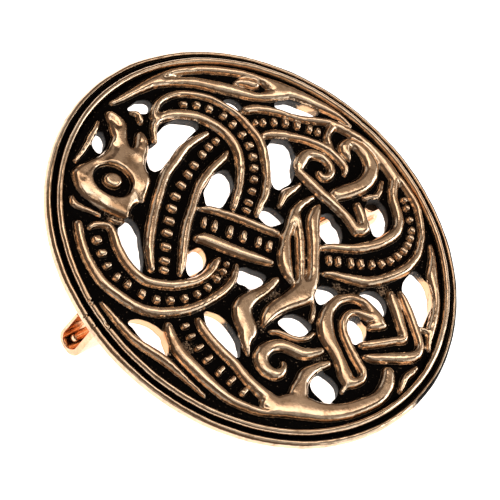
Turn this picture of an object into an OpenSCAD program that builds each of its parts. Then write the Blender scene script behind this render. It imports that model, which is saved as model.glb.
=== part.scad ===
// Openwork disc brooch: a cast disc whose pierced animal interlace is framed by a double rim,
// with a catch, a hinge and a pin on its back.
// Millimetres. The brooch lies face up, its catch and its hinge standing on z = 0.

/* [Disc] */
// Diameter across the rim
disc_d = 40; // [36:1:46]
// Thickness of the pierced plate
plate_t = 0.95; // [0.8:0.05:1.4]
// Height of the raised ornament over the plate
relief_h = 0.65; // [0.4:0.05:0.9]
// Height of the beads over the plate
bead_h = 0.5; // [0.3:0.05:0.6]
// Ledge left between a raised line and a gap beside it
ledge = 0.06; // [0.04:0.01:0.1]

/* [Rim] */
// Radius of the round bead that edges the disc
edge_r = 0.55; // [0.45:0.05:0.7]
// Width of the inner rim ridge
ridge_w = 0.58; // [0.5:0.02:0.7]
// Width of the groove between the edge bead and the inner ridge
groove_w = 0.42; // [0.36:0.02:0.5]

/* [Fastening] */
// Height of the disc's back over the surface it lies on
back_h = 6; // [5.8:0.1:7]
// Turn of the pin from the X axis, seen from the front
pin_turn = 30; // [20:1:40]
// Distance of the pin from the disc's centre
pin_off = 0.8; // [0.5:0.1:1.5]
// Diameter of the pin's wire
pin_d = 1.1; // [1:0.05:1.2]
// Height of the pin's middle at the catch
pin_low = 1.3; // [1.25:0.05:1.4]
// Height of the pin's middle at the hinge
pin_high = 3.4; // [3.2:0.1:3.6]
// Width across the catch
catch_w = 2.8; // [2.6:0.1:3.2]
// Length of the catch along the pin
catch_l = 3.2; // [2.6:0.2:4]
// Height of the catch's free lip
lip_h = 4.3; // [3.6:0.1:4.4]
// Width across the two hinge lugs
hinge_w = 4.2; // [4:0.1:6]
// Thickness of a hinge lug
lug_t = 0.8; // [0.7:0.1:1]
// Diameter of the hinge rivet
rivet_d = 1; // [0.8:0.1:1.1]

/* [Hidden] */
$fn = 48;
disc_r = disc_d / 2;
// The ornament is drawn a little larger than on a disc 40 across, and its middle stands off centre
drawn_r = 20.18;
scale_k = disc_r / drawn_r;
ornament_x = 0.235 * scale_k;
ornament_y = 0.277 * scale_k;
// The gaps are drawn smaller than they are cut, and a little off
gap_x = 0.14 * scale_k;
gap_y = 0.12 * scale_k;
gap_grow = 0.08;
floor_z = back_h + plate_t;
top_z = floor_z + relief_h;
edge_z = back_h + edge_r;
plate_r = disc_r - 1.6;
// Pieces that meet keep this clearance
fit = 0.04;
// Distances from the disc's centre along the pin: outer end of the catch, hinge rivet
catch_x = -(disc_r - 1.6);
hinge_x = disc_r - 4.7;
pin_slope = atan2(pin_high - pin_low, hinge_x - catch_x - catch_l / 2);
// Clear width of the catch, and its middle seen from the pin
slot_w = pin_d + 0.24;
slot_shift = 0.12;
// Barrel of the pin, round the rivet
barrel_d = 2.6;
barrel_l = hinge_w - 2 * lug_t - 0.2;
// Cross-sections drawn between two rows of a table
steps = 2;

// Raised lines of the ornament. Columns: x, y, width.
// Beaded neck band, from the head's side over the top to the middle
arch_outer = [[-8.6, 11.7, 0.5], [-8.3, 12.7, 0.6], [-7.6, 13.7, 0.5], [-6, 14.6, 0.45],
    [-4.3, 14.8, 0.42], [-2.5, 14.6, 0.42], [-1, 13.85, 0.4], [0, 13.25, 0.45], [1, 12.1, 0.55],
    [1.8, 11, 0.65], [2.1, 9.6, 0.68], [2.08, 7.5, 0.6], [1.85, 6, 0.7], [1.5, 5, 0.62],
    [0.95, 4, 0.5], [0.45, 2.95, 0.2]];
arch_inner = [[-8.75, 9.2, 0.3], [-8.75, 10.4, 0.5], [-8.3, 11.5, 0.6], [-7, 12.3, 0.8],
    [-5, 12.55, 0.85], [-3.5, 12.3, 0.8], [-2, 11.55, 0.8], [-1, 10.5, 0.75], [-0.5, 9.2, 0.75],
    [-0.5, 7.6, 0.7], [-0.8, 6, 0.6], [-1.2, 4.8, 0.55], [-1.75, 3.4, 0.4]];
// Beaded body band, from the middle down to the left
body_left = [[-3.4, 10.85, 0.4], [-4.2, 10.35, 0.55], [-5, 9.75, 0.6], [-6, 8.85, 0.75],
    [-7, 7.5, 0.8], [-8.1, 6, 0.8], [-8.95, 4, 0.8], [-9.7, 2, 0.78], [-10.3, 0, 0.85],
    [-10.75, -2, 0.8], [-10.8, -4.2, 0.5]];
body_right = [[-1.65, 9.2, 0.3], [-2.1, 8.5, 0.55], [-3, 7.65, 0.62], [-4, 6.5, 0.65],
    [-5.05, 5, 0.65], [-5.8, 3.1, 0.65], [-6.65, 1, 0.75], [-7.2, -1, 0.8], [-7.65, -3, 0.6],
    [-8.05, -4.3, 0.25]];
// Beaded cross band, left of the middle
cross_upper = [[-5.1, 2.85, 0.2], [-4.2, 2.95, 0.45], [-3, 2.75, 0.5], [-1, 2.3, 0.62],
    [1, 1.68, 0.62], [2.3, 1.35, 0.5]];
cross_lower = [[-5.9, -0.35, 0.5], [-5.2, -0.2, 1], [-4, -0.5, 1.1], [-2, -1.1, 0.95],
    [0, -1.55, 0.8], [1.35, -1.85, 0.35]];
// Beaded loop, round the lower left
loop_outer = [[-17.5, -0.3, 0.75], [-17.45, -2, 0.78], [-17, -4, 0.82], [-15.95, -6, 0.85],
    [-14.8, -7, 0.85], [-13, -8.15, 0.85], [-11.5, -8.5, 0.85], [-10, -8.4, 0.8],
    [-8, -7.95, 0.75], [-6, -6.95, 0.68], [-4, -5.5, 0.65], [-3, -4.4, 0.6], [-2.4, -3.2, 0.45],
    [-2.25, -2.5, 0.2]];
loop_inner = [[-16.5, -0.7, 0.12], [-16, -0.3, 0.4], [-15.2, -0.12, 0.45], [-14.4, -0.3, 0.55],
    [-14.1, -1, 0.7], [-13.95, -2, 0.75], [-13.6, -3, 0.8], [-13, -4.1, 0.75],
    [-12, -5.15, 0.78], [-11, -5.5, 0.75], [-9, -5.5, 0.75], [-7, -4.95, 0.65],
    [-6, -4.45, 0.62], [-5, -3.6, 0.65], [-4.4, -2.7, 0.7], [-3.85, -2.05, 0.2]];
// Beaded tail, from the loop down to the broad field
tail_outer = [[-9.9, -9.7, 0.6], [-9.75, -10.8, 1], [-9.2, -12.2, 1.15], [-8.1, -13.5, 1.15],
    [-7, -14.65, 1.1], [-6, -15.6, 0.95], [-5, -16.4, 0.85], [-4, -16.9, 0.75],
    [-2, -17.45, 0.6], [-0.8, -17.45, 0.5], [0.2, -17.3, 0.5]];
tail_inner = [[-6.85, -8.75, 0.4], [-6.6, -9.4, 0.7], [-6.2, -10.1, 0.75], [-5.5, -11, 0.8],
    [-4.6, -12, 0.85], [-3.6, -13, 0.85], [-2.95, -14, 0.9], [-2, -15, 1], [-0.8, -16, 1.2],
    [0.3, -16.5, 1.2]];
// Beaded band at the upper right, which runs on along the rim
wing_upper = [[0.6, 13.8, 0.4], [1, 13.95, 0.65], [2, 14.2, 0.62], [4, 14.12, 0.52],
    [5.5, 13.78, 0.46], [7.5, 13.75, 0.52], [9, 13.75, 0.5], [10, 13.4, 0.7], [12, 12.45, 0.65],
    [13.5, 11, 0.8], [14.25, 10, 1.05], [14.95, 8.8, 1]];
wing_lower = [[2.15, 11.45, 0.25], [3, 11.7, 0.75], [4, 11.8, 0.75], [6, 11.68, 0.55],
    [7, 11.45, 0.55], [8, 11.15, 0.6], [9, 10.5, 0.62], [9.7, 9.8, 0.6], [10.1, 9.1, 0.5],
    [9.85, 8.4, 0.15]];
wing_end = [[9.4, 13.4, 0.55], [8.85, 12.6, 0.5], [8.65, 11.9, 0.5], [8.85, 11, 0.55]];
// Beaded band at the right
right_inner = [[6.6, 0.4, 0.25], [7.2, 0.6, 0.5], [8, 0.68, 0.62], [10, 0.85, 0.75],
    [12, 1.5, 0.85], [13.1, 2.1, 0.85], [14.2, 3, 0.88], [14.7, 4, 0.85], [14.75, 5, 0.8],
    [14.5, 6.3, 0.75], [14.55, 7.2, 0.75], [14.8, 8.2, 0.75], [15, 8.9, 0.7]];
right_outer = [[6.45, -2.25, 0.25], [7.2, -2.2, 0.5], [8, -2.3, 0.62], [10, -2.5, 0.88],
    [11, -2.4, 0.85], [12, -2.1, 0.75], [13, -1.65, 0.75], [14, -1.1, 0.8], [15, -0.4, 0.75],
    [16.1, 0.9, 0.6], [16.55, 2, 0.55], [16.85, 3, 0.5], [16.95, 4.4, 0.45], [16.8, 6, 0.5],
    [16.4, 7, 0.5], [15.9, 8, 0.45], [15.15, 9, 0.5]];
// Crest along the top
crest_outer = [[-12.65, 12.65, 0.15], [-11.4, 13.4, 0.45], [-10, 14.35, 0.62], [-8.2, 15.5, 0.85],
    [-7.2, 16.2, 0.6], [-6, 16.85, 0.5], [-4, 17.4, 0.5], [-2, 17.68, 0.6], [0, 17.72, 0.56],
    [1.5, 17.6, 0.55], [3, 17.2, 0.7], [4.2, 16.6, 1.4], [6, 16.2, 1.1], [8, 15.5, 0.9],
    [10, 14.62, 0.5], [11.2, 13.65, 0.12]];
crest_inner = [[-8.6, 15.15, 0.5], [-7.2, 15.6, 0.6], [-6, 15.85, 0.7], [-4, 16.1, 0.8],
    [-2, 15.95, 0.95], [0, 15.75, 0.95], [1, 15.55, 0.8], [2, 15.45, 0.62], [3, 15.6, 0.75],
    [4, 15.95, 1.1], [5, 16.15, 1.1]];
crest_almond = [[0.1, 16.6, 0.15], [0.7, 16.75, 0.5], [1.4, 16.75, 0.75], [2, 16.65, 0.75],
    [2.35, 16.55, 0.3]];
// Scrolls and crossing bar at the upper right
big_scroll = [[10.6, 10.1, 0.15], [10.4, 10.6, 0.75], [10.25, 11.2, 1.05], [10.7, 11.85, 0.8],
    [11.4, 11.75, 0.75], [12.1, 11.15, 0.95], [12.6, 10.3, 1.2], [12.7, 9.3, 1.3],
    [12.2, 8.3, 1.3], [11.4, 7.5, 1.25], [10.4, 6.95, 1.25], [9.4, 6.5, 1.25], [8.6, 6.15, 1]];
small_scroll = [[5.3, 8.5, 0.9], [5.75, 9.4, 1.1], [6.4, 10.05, 0.9], [7.2, 10.15, 0.78],
    [8, 9.85, 0.7], [8.55, 9.2, 0.62], [8.6, 8.5, 0.62], [8.2, 7.95, 0.6], [7.6, 7.8, 0.55],
    [7.3, 8.3, 0.42]];
cross_bar = [[5.15, 8.2, 0.5], [6, 7.5, 0.85], [7, 6.45, 0.9], [8, 5.5, 0.8], [9, 4.55, 0.75],
    [9.6, 3.9, 0.8], [10.1, 3, 0.8], [10.2, 2.4, 0.5]];
bar_arm = [[10.75, 5.4, 0.6], [11, 4.6, 0.75], [11.15, 3.8, 0.8], [11.1, 3.1, 1.1],
    [10.5, 2.75, 1]];
bar_claw = [[5.2, 6.75, 0.3], [4.5, 6.15, 0.5], [3.8, 5.7, 0.7], [3.4, 5.1, 0.5],
    [3.1, 4.5, 0.3], [2.85, 4.15, 0.12]];
side_spur = [[13.65, 8.3, 0.12], [13.35, 7.4, 0.3], [12.9, 6.65, 0.45], [12.2, 6.45, 0.3],
    [11.5, 6.2, 0.15]];
// Grooved thigh in the middle, with its shin
thigh_left = [[6.4, 5.6, 0.25], [5.7, 5.15, 0.5], [5, 4.6, 0.6], [4.5, 4, 0.8], [4, 3.1, 0.75],
    [3.55, 2, 0.65], [3.1, 1, 0.75], [2.9, 0, 0.95], [2.7, -1, 1.15], [2.7, -2, 1.1],
    [2.85, -2.9, 0.75], [3.1, -3.5, 0.3]];
thigh_middle = [[4.5, 3.5, 0.6], [4.5, 2.2, 0.65], [4.5, 1, 0.7], [4.38, 0, 0.72],
    [4.3, -1, 0.7], [4.17, -2, 0.65], [4.05, -3, 0.65], [4, -3.9, 1.2]];
thigh_right = [[6.95, 4.95, 0.1], [6.5, 4.2, 0.85], [6.1, 3.2, 1.1], [5.95, 2, 1.05],
    [5.9, 1, 1], [5.75, 0, 0.9], [5.6, -1, 0.9], [5.47, -2, 0.95], [5.25, -3, 0.95],
    [4.85, -3.9, 1.1]];
shin = [[4.9, -3.5, 0.9], [4.2, -4.4, 2], [3.2, -5.15, 1.75], [2, -5.9, 1.4], [1, -6.6, 1.25],
    [0.3, -7.3, 1.1], [-0.15, -8, 0.7], [-0.4, -8.5, 0.2]];
heel = [[4.95, -5.3, 0.12], [4.92, -6, 0.2], [4.7, -6.8, 0.35], [4.5, -7.35, 0.2]];
// Second leg
leg = [[1.6, -3.5, 0.5], [0.9, -4.2, 0.8], [0, -4.95, 0.9], [-1, -5.6, 1.1], [-1.8, -6.3, 1.5],
    [-2.3, -7.2, 1.8], [-2.25, -8.2, 1.85], [-2, -9.1, 1.8], [-2.3, -10, 1.2],
    [-2.4, -10.8, 0.7], [-2.3, -11.7, 0.12]];
// Lower scroll, whisker and broad field
low_scroll = [[5.1, -10.35, 0.6], [4, -10.7, 0.85], [3, -10.85, 1.05], [2, -10.5, 1.05],
    [1, -10.3, 1.05], [0, -10.6, 1.1], [-0.8, -11.3, 1.25], [-1.1, -12.2, 1.35],
    [-0.7, -13.1, 1.2], [0.2, -13.4, 1], [0.9, -12.95, 0.7], [1.15, -12.3, 0.4],
    [1, -12.05, 0.2]];
whisker = [[0.2, -9.05, 0.15], [1, -8.95, 0.28], [2.3, -9.35, 0.3], [3.2, -9.4, 0.3],
    [4, -9.15, 0.28], [4.6, -8.6, 0.15]];
field = [[-1.4, -16.6, 1], [0, -16.75, 1.8], [1.2, -16.45, 2.3], [2.4, -16.45, 2.3],
    [4, -16.7, 1.8], [5.5, -16.55, 1.55], [7, -16.15, 1.4], [9, -15.2, 1.25], [10, -14.6, 1.2],
    [10.7, -13.85, 1.2], [11.2, -13, 1.2], [11.5, -12.1, 1.1], [11.5, -11.55, 1]];
field_arm = [[5.6, -11.6, 0.55], [4.9, -11.9, 0.65], [4, -12.4, 0.8], [3.2, -13, 1.15],
    [2.7, -13.8, 1.1], [2.3, -14.8, 1.6], [2, -15.8, 1.8]];
// Knot at the lower right
knot_outer = [[7.1, -13.7, 0.3], [7.15, -12.7, 1.4], [7, -12, 1.15], [6.75, -11, 1],
    [6.4, -10, 1.1], [5.95, -9, 1.4], [5.85, -8, 1.45], [6, -7, 1.25], [6.4, -6, 1],
    [7.2, -5.05, 0.85], [8, -4.6, 0.75], [9, -4.4, 0.7], [10, -4.7, 0.75], [10.7, -5.5, 0.9],
    [11.1, -6.3, 1.3], [11.25, -6.9, 1]];
knot_inner = [[11, -6.35, 0.7], [10.3, -6.15, 0.8], [9.5, -5.95, 0.62], [8.9, -5.88, 0.5],
    [8.3, -6.15, 0.55], [7.85, -6.7, 0.6], [7.6, -7.5, 0.62], [7.65, -8.5, 0.65], [8.3, -10.4, 0.68],
    [8.75, -11.4, 0.68], [8.98, -12.1, 0.65], [8.7, -12.85, 0.6], [7.9, -13.2, 0.8],
    [7.2, -13.6, 0.4]];
knot_foot = [[10.15, -7.25, 0.4], [10.7, -7.05, 0.75], [11.4, -6.9, 0.75], [11.85, -6.9, 0.35]];
knot_spur = [[7.15, -13.6, 0.3], [6.5, -14.4, 0.12]];
chevron_inner = [[12.85, -3.4, 0.5], [12.95, -4, 0.86], [13.2, -5, 0.86], [13.35, -6, 0.85],
    [13.5, -7, 0.8], [13.62, -7.7, 0.7], [13.35, -8.15, 0.62], [12.5, -8.3, 0.6],
    [11.5, -8.6, 0.62], [10.3, -8.95, 0.65], [9.3, -9.2, 0.5], [9.05, -9.25, 0.2]];
chevron_outer = [[13.85, -3.2, 0.3], [14.15, -4, 0.58], [14.45, -5, 0.65], [14.7, -6, 0.65],
    [14.9, -7, 0.65], [15.1, -8, 0.62], [15.05, -8.8, 0.65], [14.6, -9.5, 0.8],
    [13.8, -9.85, 0.95], [12.4, -10.1, 0.95], [11, -10.3, 0.75], [10, -10.45, 0.75],
    [9.3, -10.35, 0.25]];
// Thin crescents between the ornament and the rim
crescent_right = [[17.6, 2.2, 0.15], [17.6, 1, 0.42], [17.5, 0, 0.65], [17.3, -1, 0.95],
    [17.35, -2, 0.8], [17.4, -3, 0.66], [17.3, -4, 0.65], [17.05, -5, 0.68], [16.7, -6, 0.7],
    [16.35, -7, 0.6], [16.05, -8, 0.3], [15.95, -8.9, 0.12]];
crescent_low_left = [[-16.2, -8.3, 0.2], [-15.55, -9.2, 0.35], [-14.8, -10.15, 0.5],
    [-14, -11.15, 0.6], [-13.05, -12, 0.68], [-12, -12.6, 0.78], [-11, -13.2, 0.8], [-10, -14, 0.62],
    [-9, -14.95, 0.38], [-8, -15.85, 0.2], [-7.2, -16.6, 0.12]];
crescent_up_left = [[-17, 6.1, 0.12], [-16.3, 7, 0.3], [-15.6, 8, 0.4], [-15.1, 8.9, 0.4],
    [-14.5, 9.8, 0.35], [-14.15, 10.6, 0.15]];
sliver_low_right = [[14.5, -10.8, 0.15], [14, -11.3, 0.4], [13.2, -12, 0.52], [12.9, -12.6, 0.42],
    [12.4, -13.6, 0.15]];
sliver_left = [[-17.75, 2.45, 0.2], [-17.6, 1.75, 0.65], [-17.1, 1.55, 0.55], [-16.4, 1.3, 0.3],
    [-15.2, 0.8, 0.12]];
sliver_jaw = [[-14.4, 0.6, 0.12], [-13.8, 0.35, 0.24], [-12.9, 0.42, 0.12]];
ear_curl = [[-10.8, 12, 0.12], [-10.2, 11.95, 0.35], [-9.95, 11.5, 0.45], [-9.95, 11.05, 0.35]];
link_right = [[15.1, -6.72, 0.15], [15.55, -6.75, 0.3], [16.3, -7.1, 0.4]];

LINES = [arch_outer, arch_inner, body_left, body_right, cross_upper, cross_lower, loop_outer,
    loop_inner, tail_outer, tail_inner, wing_upper, wing_lower, wing_end, right_inner,
    right_outer, crest_outer, crest_inner, crest_almond, big_scroll, small_scroll, cross_bar,
    bar_arm, bar_claw, side_spur, thigh_left, thigh_middle, thigh_right, shin, heel, leg,
    low_scroll, whisker, field, field_arm, knot_outer, knot_inner, knot_foot, knot_spur, chevron_inner,
    chevron_outer, crescent_right, crescent_low_left, crescent_up_left, sliver_low_right,
    sliver_left, sliver_jaw, ear_curl, link_right];

// Outline of the head with its two ears. Columns: x, y.
head_outline = [[-17.25, 3.95], [-17.35, 4.95], [-16.7, 5.6], [-15.9, 6.05], [-15.1, 6.55],
    [-14.3, 7], [-13.65, 7.65], [-13.2, 8.35], [-12.9, 9.15], [-13, 9.9], [-13.05, 10.7],
    [-13.25, 11.5], [-12.9, 11.75], [-12.3, 11.5], [-11.65, 10.95], [-11.45, 10], [-11.6, 8.95],
    [-11.35, 8.15], [-10.95, 8.3], [-10.65, 9.1], [-10.45, 9.85], [-10, 9.95], [-9.6, 9.35],
    [-9.6, 8.3], [-9.95, 7.3], [-10.15, 6.4], [-9.95, 5.65], [-9.8, 5.05], [-10.15, 4.2],
    [-10.5, 3.4], [-10.7, 2.85], [-11.15, 2.8], [-11.65, 2.45], [-12.1, 1.9], [-12.35, 1.3],
    [-12.6, 0.95], [-13.1, 0.95], [-14.1, 1.25], [-15, 1.6], [-15.8, 2.1], [-16.5, 2.6],
    [-17, 3.2]];
// Eye: middle and half sizes of its ring and of its boss. Columns: x, y, half width, half height.
eye_ring = [-13.58, 4.48, 2, 1.8];
eye_boss = [-13.58, 4.5, 0.8, 0.66];

// Gaps cut through the plate, as slots. Columns: x, y, width.
GAPS = [
    [[-11, 12.3, 0.2], [-10.4, 12.5, 0.8], [-9.6, 12.75, 1.35], [-8.9, 13.1, 1]],
    [[-14.5, 7.5, 0.6], [-14.5, 8.2, 1.25], [-14.25, 9, 1.1], [-14, 9.35, 0.5]],
    [[-9.3, 6.5, 0.9], [-8.9, 7.3, 1.9], [-7.9, 9, 2.1], [-6.6, 10.5, 2.2], [-5.2, 11.4, 1.5],
        [-4.5, 11.6, 0.9]],
    [[-1.2, 14.5, 0.35], [-0.6, 14.4, 0.85], [0, 14.2, 0.85], [0.1, 13.9, 0.5]],
    [[4, 14.85, 0.6], [4.8, 14.9, 1.2], [6, 14.95, 1.5], [7.2, 14.8, 1.3], [7.9, 14.6, 0.6]],
    [[3.5, 11.2, 1.2], [3.7, 10.6, 2.4], [3.8, 9, 2.6], [3.5, 7.6, 2.2], [3.1, 6.8, 1.5],
        [2.9, 6.25, 0.8]],
    [[-4.1, 3.5, 1], [-3.7, 4, 2], [-3, 5.2, 2.1], [-2.4, 6.2, 2], [-2.1, 7, 0.9]],
    [[0.8, 3, 0.7], [1.3, 3, 1.7], [1.9, 3, 1.9], [2.5, 2.9, 1.3], [2.85, 2.8, 0.7]],
    [[-12.4, 0.6, 0.9], [-12.5, -0.2, 1.9], [-12.6, -1, 2.1], [-12.5, -2.2, 1.9],
        [-12.3, -3.4, 1.5], [-12.1, -4.6, 0.5]],
    [[-6.9, -4.1, 0.7], [-6.7, -3.4, 1.3], [-6.3, -2.6, 1.9], [-5.9, -1.9, 1.4],
        [-5.8, -1.5, 0.7]],
    [[-2.2, -4.1, 0.9], [-1.7, -3.8, 2.1], [-0.9, -3.75, 2], [-0.1, -3.5, 1.2],
        [0.3, -3.4, 0.6]],
    [[7.7, 3.8, 1], [7.5, 3.2, 2], [7.6, 2.3, 2.3], [7.7, 1.5, 1.9], [7.7, 1, 1.2]],
    [[12.4, 6.1, 1], [12.5, 5.4, 2], [12.6, 4.4, 2], [12.5, 3.4, 1.6], [12.2, 2.6, 0.7]],
    [[15.6, -0.95, 0.7], [15.6, -1.7, 1.9], [15.5, -2.8, 2.8], [15.6, -4, 2.3],
        [15.5, -5.2, 1.4], [15.3, -6.5, 0.5]],
    [[9.9, -3.95, 0.5], [10.6, -4, 1.1], [11.3, -4.3, 1.5], [11.7, -5, 1.1], [11.7, -5.8, 0.3]],
    [[5.5, -5.3, 0.5], [5.8, -4.8, 1.4], [6.3, -4.4, 1.8], [6.9, -4.1, 1.2], [7.3, -4.1, 0.6]],
    [[1.3, -8, 0.5], [2, -8, 1.7], [2.8, -8, 2.2], [3.6, -8, 1.8], [4.1, -8, 0.8]],
    [[8.8, -6.5, 0.8], [8.8, -7.1, 1.7], [8.85, -7.8, 1.9], [8.8, -8.5, 1.4], [8.5, -9, 0.5]],
    [[-13.7, -10, 0.4], [-13.1, -10.1, 1.2], [-12.2, -10.6, 2], [-11.3, -11.3, 2.1],
        [-10.8, -12.1, 1.3], [-10.5, -12.8, 0.4]],
    [[-5.9, -8, 0.6], [-5.4, -8.6, 1.7], [-4.7, -9.4, 2.1], [-4.1, -10.3, 1.9],
        [-3.6, -11.3, 1.2], [-3.4, -12, 0.4]],
    [[4.7, -12.85, 1], [4.8, -13.4, 2.2], [4.85, -14.1, 2.7], [4.9, -14.8, 2.2],
        [4.9, -15.3, 1.2]]];

// Rows of beads. A bead stands on each row of a table, and more are spaced evenly between two
// rows. Columns: x, y, steps to the next row, size across the band, size along it.
BEADS = [
    [[-5.4, 13.6, 1, 0.55, 0.7], [-4.05, 13.72, 2, 0.6, 0.7], [-1.5, 12.95, 3, 0.75, 0.68],
        [0.7, 10.2, 3, 0.78, 0.68], [0.7, 6.7, 3, 0.76, 0.7], [-0.5, 3.35, 0, 0.8, 0.4]],
    [[-2.6, 10.2, 1, 0.7, 0.65], [-3.4, 9.45, 2, 0.75, 0.65], [-5.1, 7.35, 3, 0.85, 0.65],
        [-7.4, 3.8, 3, 0.95, 0.65], [-8.75, -0.15, 3, 1.05, 0.72], [-9.55, -4.05, 0, 0.95, 0.6]],
    [[-4.9, 1.5, 2, 1.1, 0.5], [-2.42, 0.9, 3, 1.2, 0.62], [1.3, -0.1, 0, 1.1, 0.6]],
    [[-15.85, -1.8, 1, 0.95, 0.8], [-15.5, -3.1, 1, 0.95, 0.7], [-15.15, -4.35, 1, 0.9, 0.6],
        [-14.35, -5.4, 3, 0.9, 0.62], [-10.7, -7.2, 3, 0.75, 0.75],
        [-6.55, -6.1, 3, 0.7, 0.65], [-3.65, -3.4, 1, 0.65, 0.6], [-3.2, -2.55, 0, 0.5, 0.5]],
    [[-8.2, -9.6, 1, 0.85, 0.55], [-7.75, -10.6, 2, 1, 0.5], [-6.35, -12.7, 1, 1.15, 0.55],
        [-5.3, -13.75, 1, 1.2, 0.55], [-4.3, -14.6, 1, 1.1, 0.55], [-3.22, -15.6, 0, 1, 0.6]],
    [[1.6, 12.7, 3, 0.65, 0.5], [4.65, 13.1, 3, 0.85, 0.65], [7.8, 12.6, 0, 0.75, 0.55]],
    [[15.6, 6.6, 3, 0.55, 0.6], [15.9, 3.5, 3, 0.62, 0.62], [14.8, 1.25, 3, 0.8, 0.62],
        [12.4, -0.4, 3, 0.8, 0.66], [9.3, -0.75, 2, 1, 0.58], [7.15, -0.75, 0, 0.95, 0.55]]];

// Smooth curve through the values at four rows, between the second and the third
function through(a, b, c, d, t) =
    0.5 * (2 * b + (c - a) * t + (2 * a - 5 * b + 4 * c - d) * t * t
        + (3 * b - a - 3 * c + d) * t * t * t);
function row(rows, i) = rows[max(0, min(len(rows) - 1, i))];
// Point on the smooth curve through a table's rows, u counting rows from its start
function on_curve(rows, u) =
    let (i = min(len(rows) - 2, floor(u)))
    through(row(rows, i - 1), row(rows, i), row(rows, i + 1), row(rows, i + 2), u - i);
// Unit vector along the curve
function heading(rows, u) =
    let (
        end = len(rows) - 1,
        back = on_curve(rows, max(0, u - 0.1)),
        ahead = on_curve(rows, min(end, u + 0.1)),
        d = [ahead[0] - back[0], ahead[1] - back[1]]
    )
    d / norm(d);
// The two ends of the cross-section of a line at u
function section(rows, u) =
    let (
        p = on_curve(rows, u),
        h = heading(rows, u),
        w = max(0.1, p[2]) / 2
    )
    [[p[0] - h[1] * w, p[1] + h[0] * w], [p[0] + h[1] * w, p[1] - h[0] * w]];
// Smooth closed outline through a table's rows
function closed_outline(rows) =
    let (n = len(rows))
    [for (i = [0:n - 1], t = [0:1 / steps:0.99])
        through(rows[(i + n - 1) % n], rows[i], rows[(i + 1) % n], rows[(i + 2) % n], t)];
function oval(m) =
    [for (a = [0:18:342]) [m[0] + m[2] * cos(a), m[1] + m[3] * sin(a)]];

// A blunt rounded end beyond a line's first or last cross-section, along the given heading
module line_end(s, h) {
    reach = norm(s[0] - s[1]) * 0.3;
    polygon([s[0], s[1], s[1] * 0.75 + s[0] * 0.25 + h * reach, s[0] * 0.75 + s[1] * 0.25 + h * reach]);
}

// A line of varying width, drawn as one four-sided piece for each step along it
module stroke(rows) {
    last = (len(rows) - 1) * steps;
    for (k = [0:last - 1]) {
        a = section(rows, k / steps);
        b = section(rows, (k + 1) / steps);
        polygon([a[0], a[1], b[1], b[0]]);
    }
    line_end(section(rows, 0), -heading(rows, 0));
    line_end(section(rows, last / steps), heading(rows, last / steps));
}

// A bead with rounded corners, set across the band at a point of its row
module bead(rows, u) {
    p = on_curve(rows, u);
    h = heading(rows, u);
    translate([p[0], p[1]])
        rotate(atan2(h[1], h[0]))
            polygon([for (a = [22.5:45:340])
                [p[4] / 2 * sign(cos(a)) * sqrt(abs(cos(a))),
                    p[3] / 2 * sign(sin(a)) * sqrt(abs(sin(a)))]]);
}

module bead_row(rows) {
    for (i = [0:len(rows) - 2])
        for (k = [0:rows[i][2] - 1])
            bead(rows, i + k / rows[i][2]);
    bead(rows, len(rows) - 1);
}

// Places a drawn shape on the disc
module placed() {
    translate([ornament_x, ornament_y])
        scale(scale_k)
            children();
}

// All raised lines, the head and its eye, grown by a distance
module raised_shapes(grow) {
    offset(delta = grow)
        placed()
            union() {
                for (rows = LINES)
                    stroke(rows);
                difference() {
                    polygon(closed_outline(head_outline));
                    polygon(oval(eye_ring));
                }
                polygon(oval(eye_boss));
            }
}

// The gaps, which stop short of every raised line
module gap_shapes() {
    offset(delta = 0.01)
        difference() {
            offset(delta = gap_grow)
                translate([gap_x, gap_y])
                    placed()
                        for (rows = GAPS)
                            stroke(rows);
            raised_shapes(ledge);
        }
}

module bead_shapes() {
    offset(delta = 0.01)
        placed()
            for (rows = BEADS)
                bead_row(rows);
}

// Rim: a round edge bead, a groove, and an inner ridge that slopes down to the plate
module rim() {
    edge_m = disc_r - edge_r;
    groove_out = edge_m + 0.04;
    groove_in = groove_out - groove_w;
    ridge_in = groove_in - ridge_w;
    rotate_extrude($fn = 180)
        polygon(concat(
            [[ridge_in - 0.5, back_h], [edge_m, back_h]],
            [for (a = [-75:15:75]) [edge_m + edge_r * cos(a), edge_z + edge_r * sin(a)]],
            [[groove_out, edge_z + edge_r - 0.12],
                [groove_out - 0.06, edge_z + 0.15],
                [(groove_out + groove_in) / 2, edge_z + 0.08],
                [groove_in + 0.04, edge_z + 0.15],
                [groove_in - 0.02, top_z - 0.4],
                [groove_in - 0.14, top_z - 0.22],
                [ridge_in + 0.2, top_z - 0.12],
                [ridge_in + 0.05, top_z - 0.17],
                [ridge_in, top_z - 0.35],
                [ridge_in - 0.03, floor_z],
                [ridge_in - 0.5, floor_z]]));
}

module openwork_disc() {
    color([0.62, 0.46, 0.3])
        union() {
            translate([0, 0, back_h])
                linear_extrude(plate_t)
                    difference() {
                        circle(plate_r, $fn = 120);
                        gap_shapes();
                    }
            rim();
            translate([0, 0, floor_z - 0.1])
                linear_extrude(relief_h + 0.1)
                    raised_shapes(0);
            translate([0, 0, floor_z - 0.1])
                linear_extrude(bead_h + 0.1)
                    bead_shapes();
        }
}

// Places a piece on the back: X runs along the pin from the catch to the hinge, and the pin's
// middle lies on X
module on_back(along) {
    rotate(pin_turn)
        translate([along, pin_off, 0])
            children();
}

// Places a flat shape upright across the pin, its X along Y and its Y up, thick along X
module upright(thick) {
    rotate([90, 0, 90])
        linear_extrude(thick)
            children();
}

// Places a flat shape upright along the pin, its Y up, thick both ways across
module lengthwise(thick) {
    translate([0, thick / 2, 0])
        rotate([90, 0, 0])
            linear_extrude(thick)
                children();
}

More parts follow.
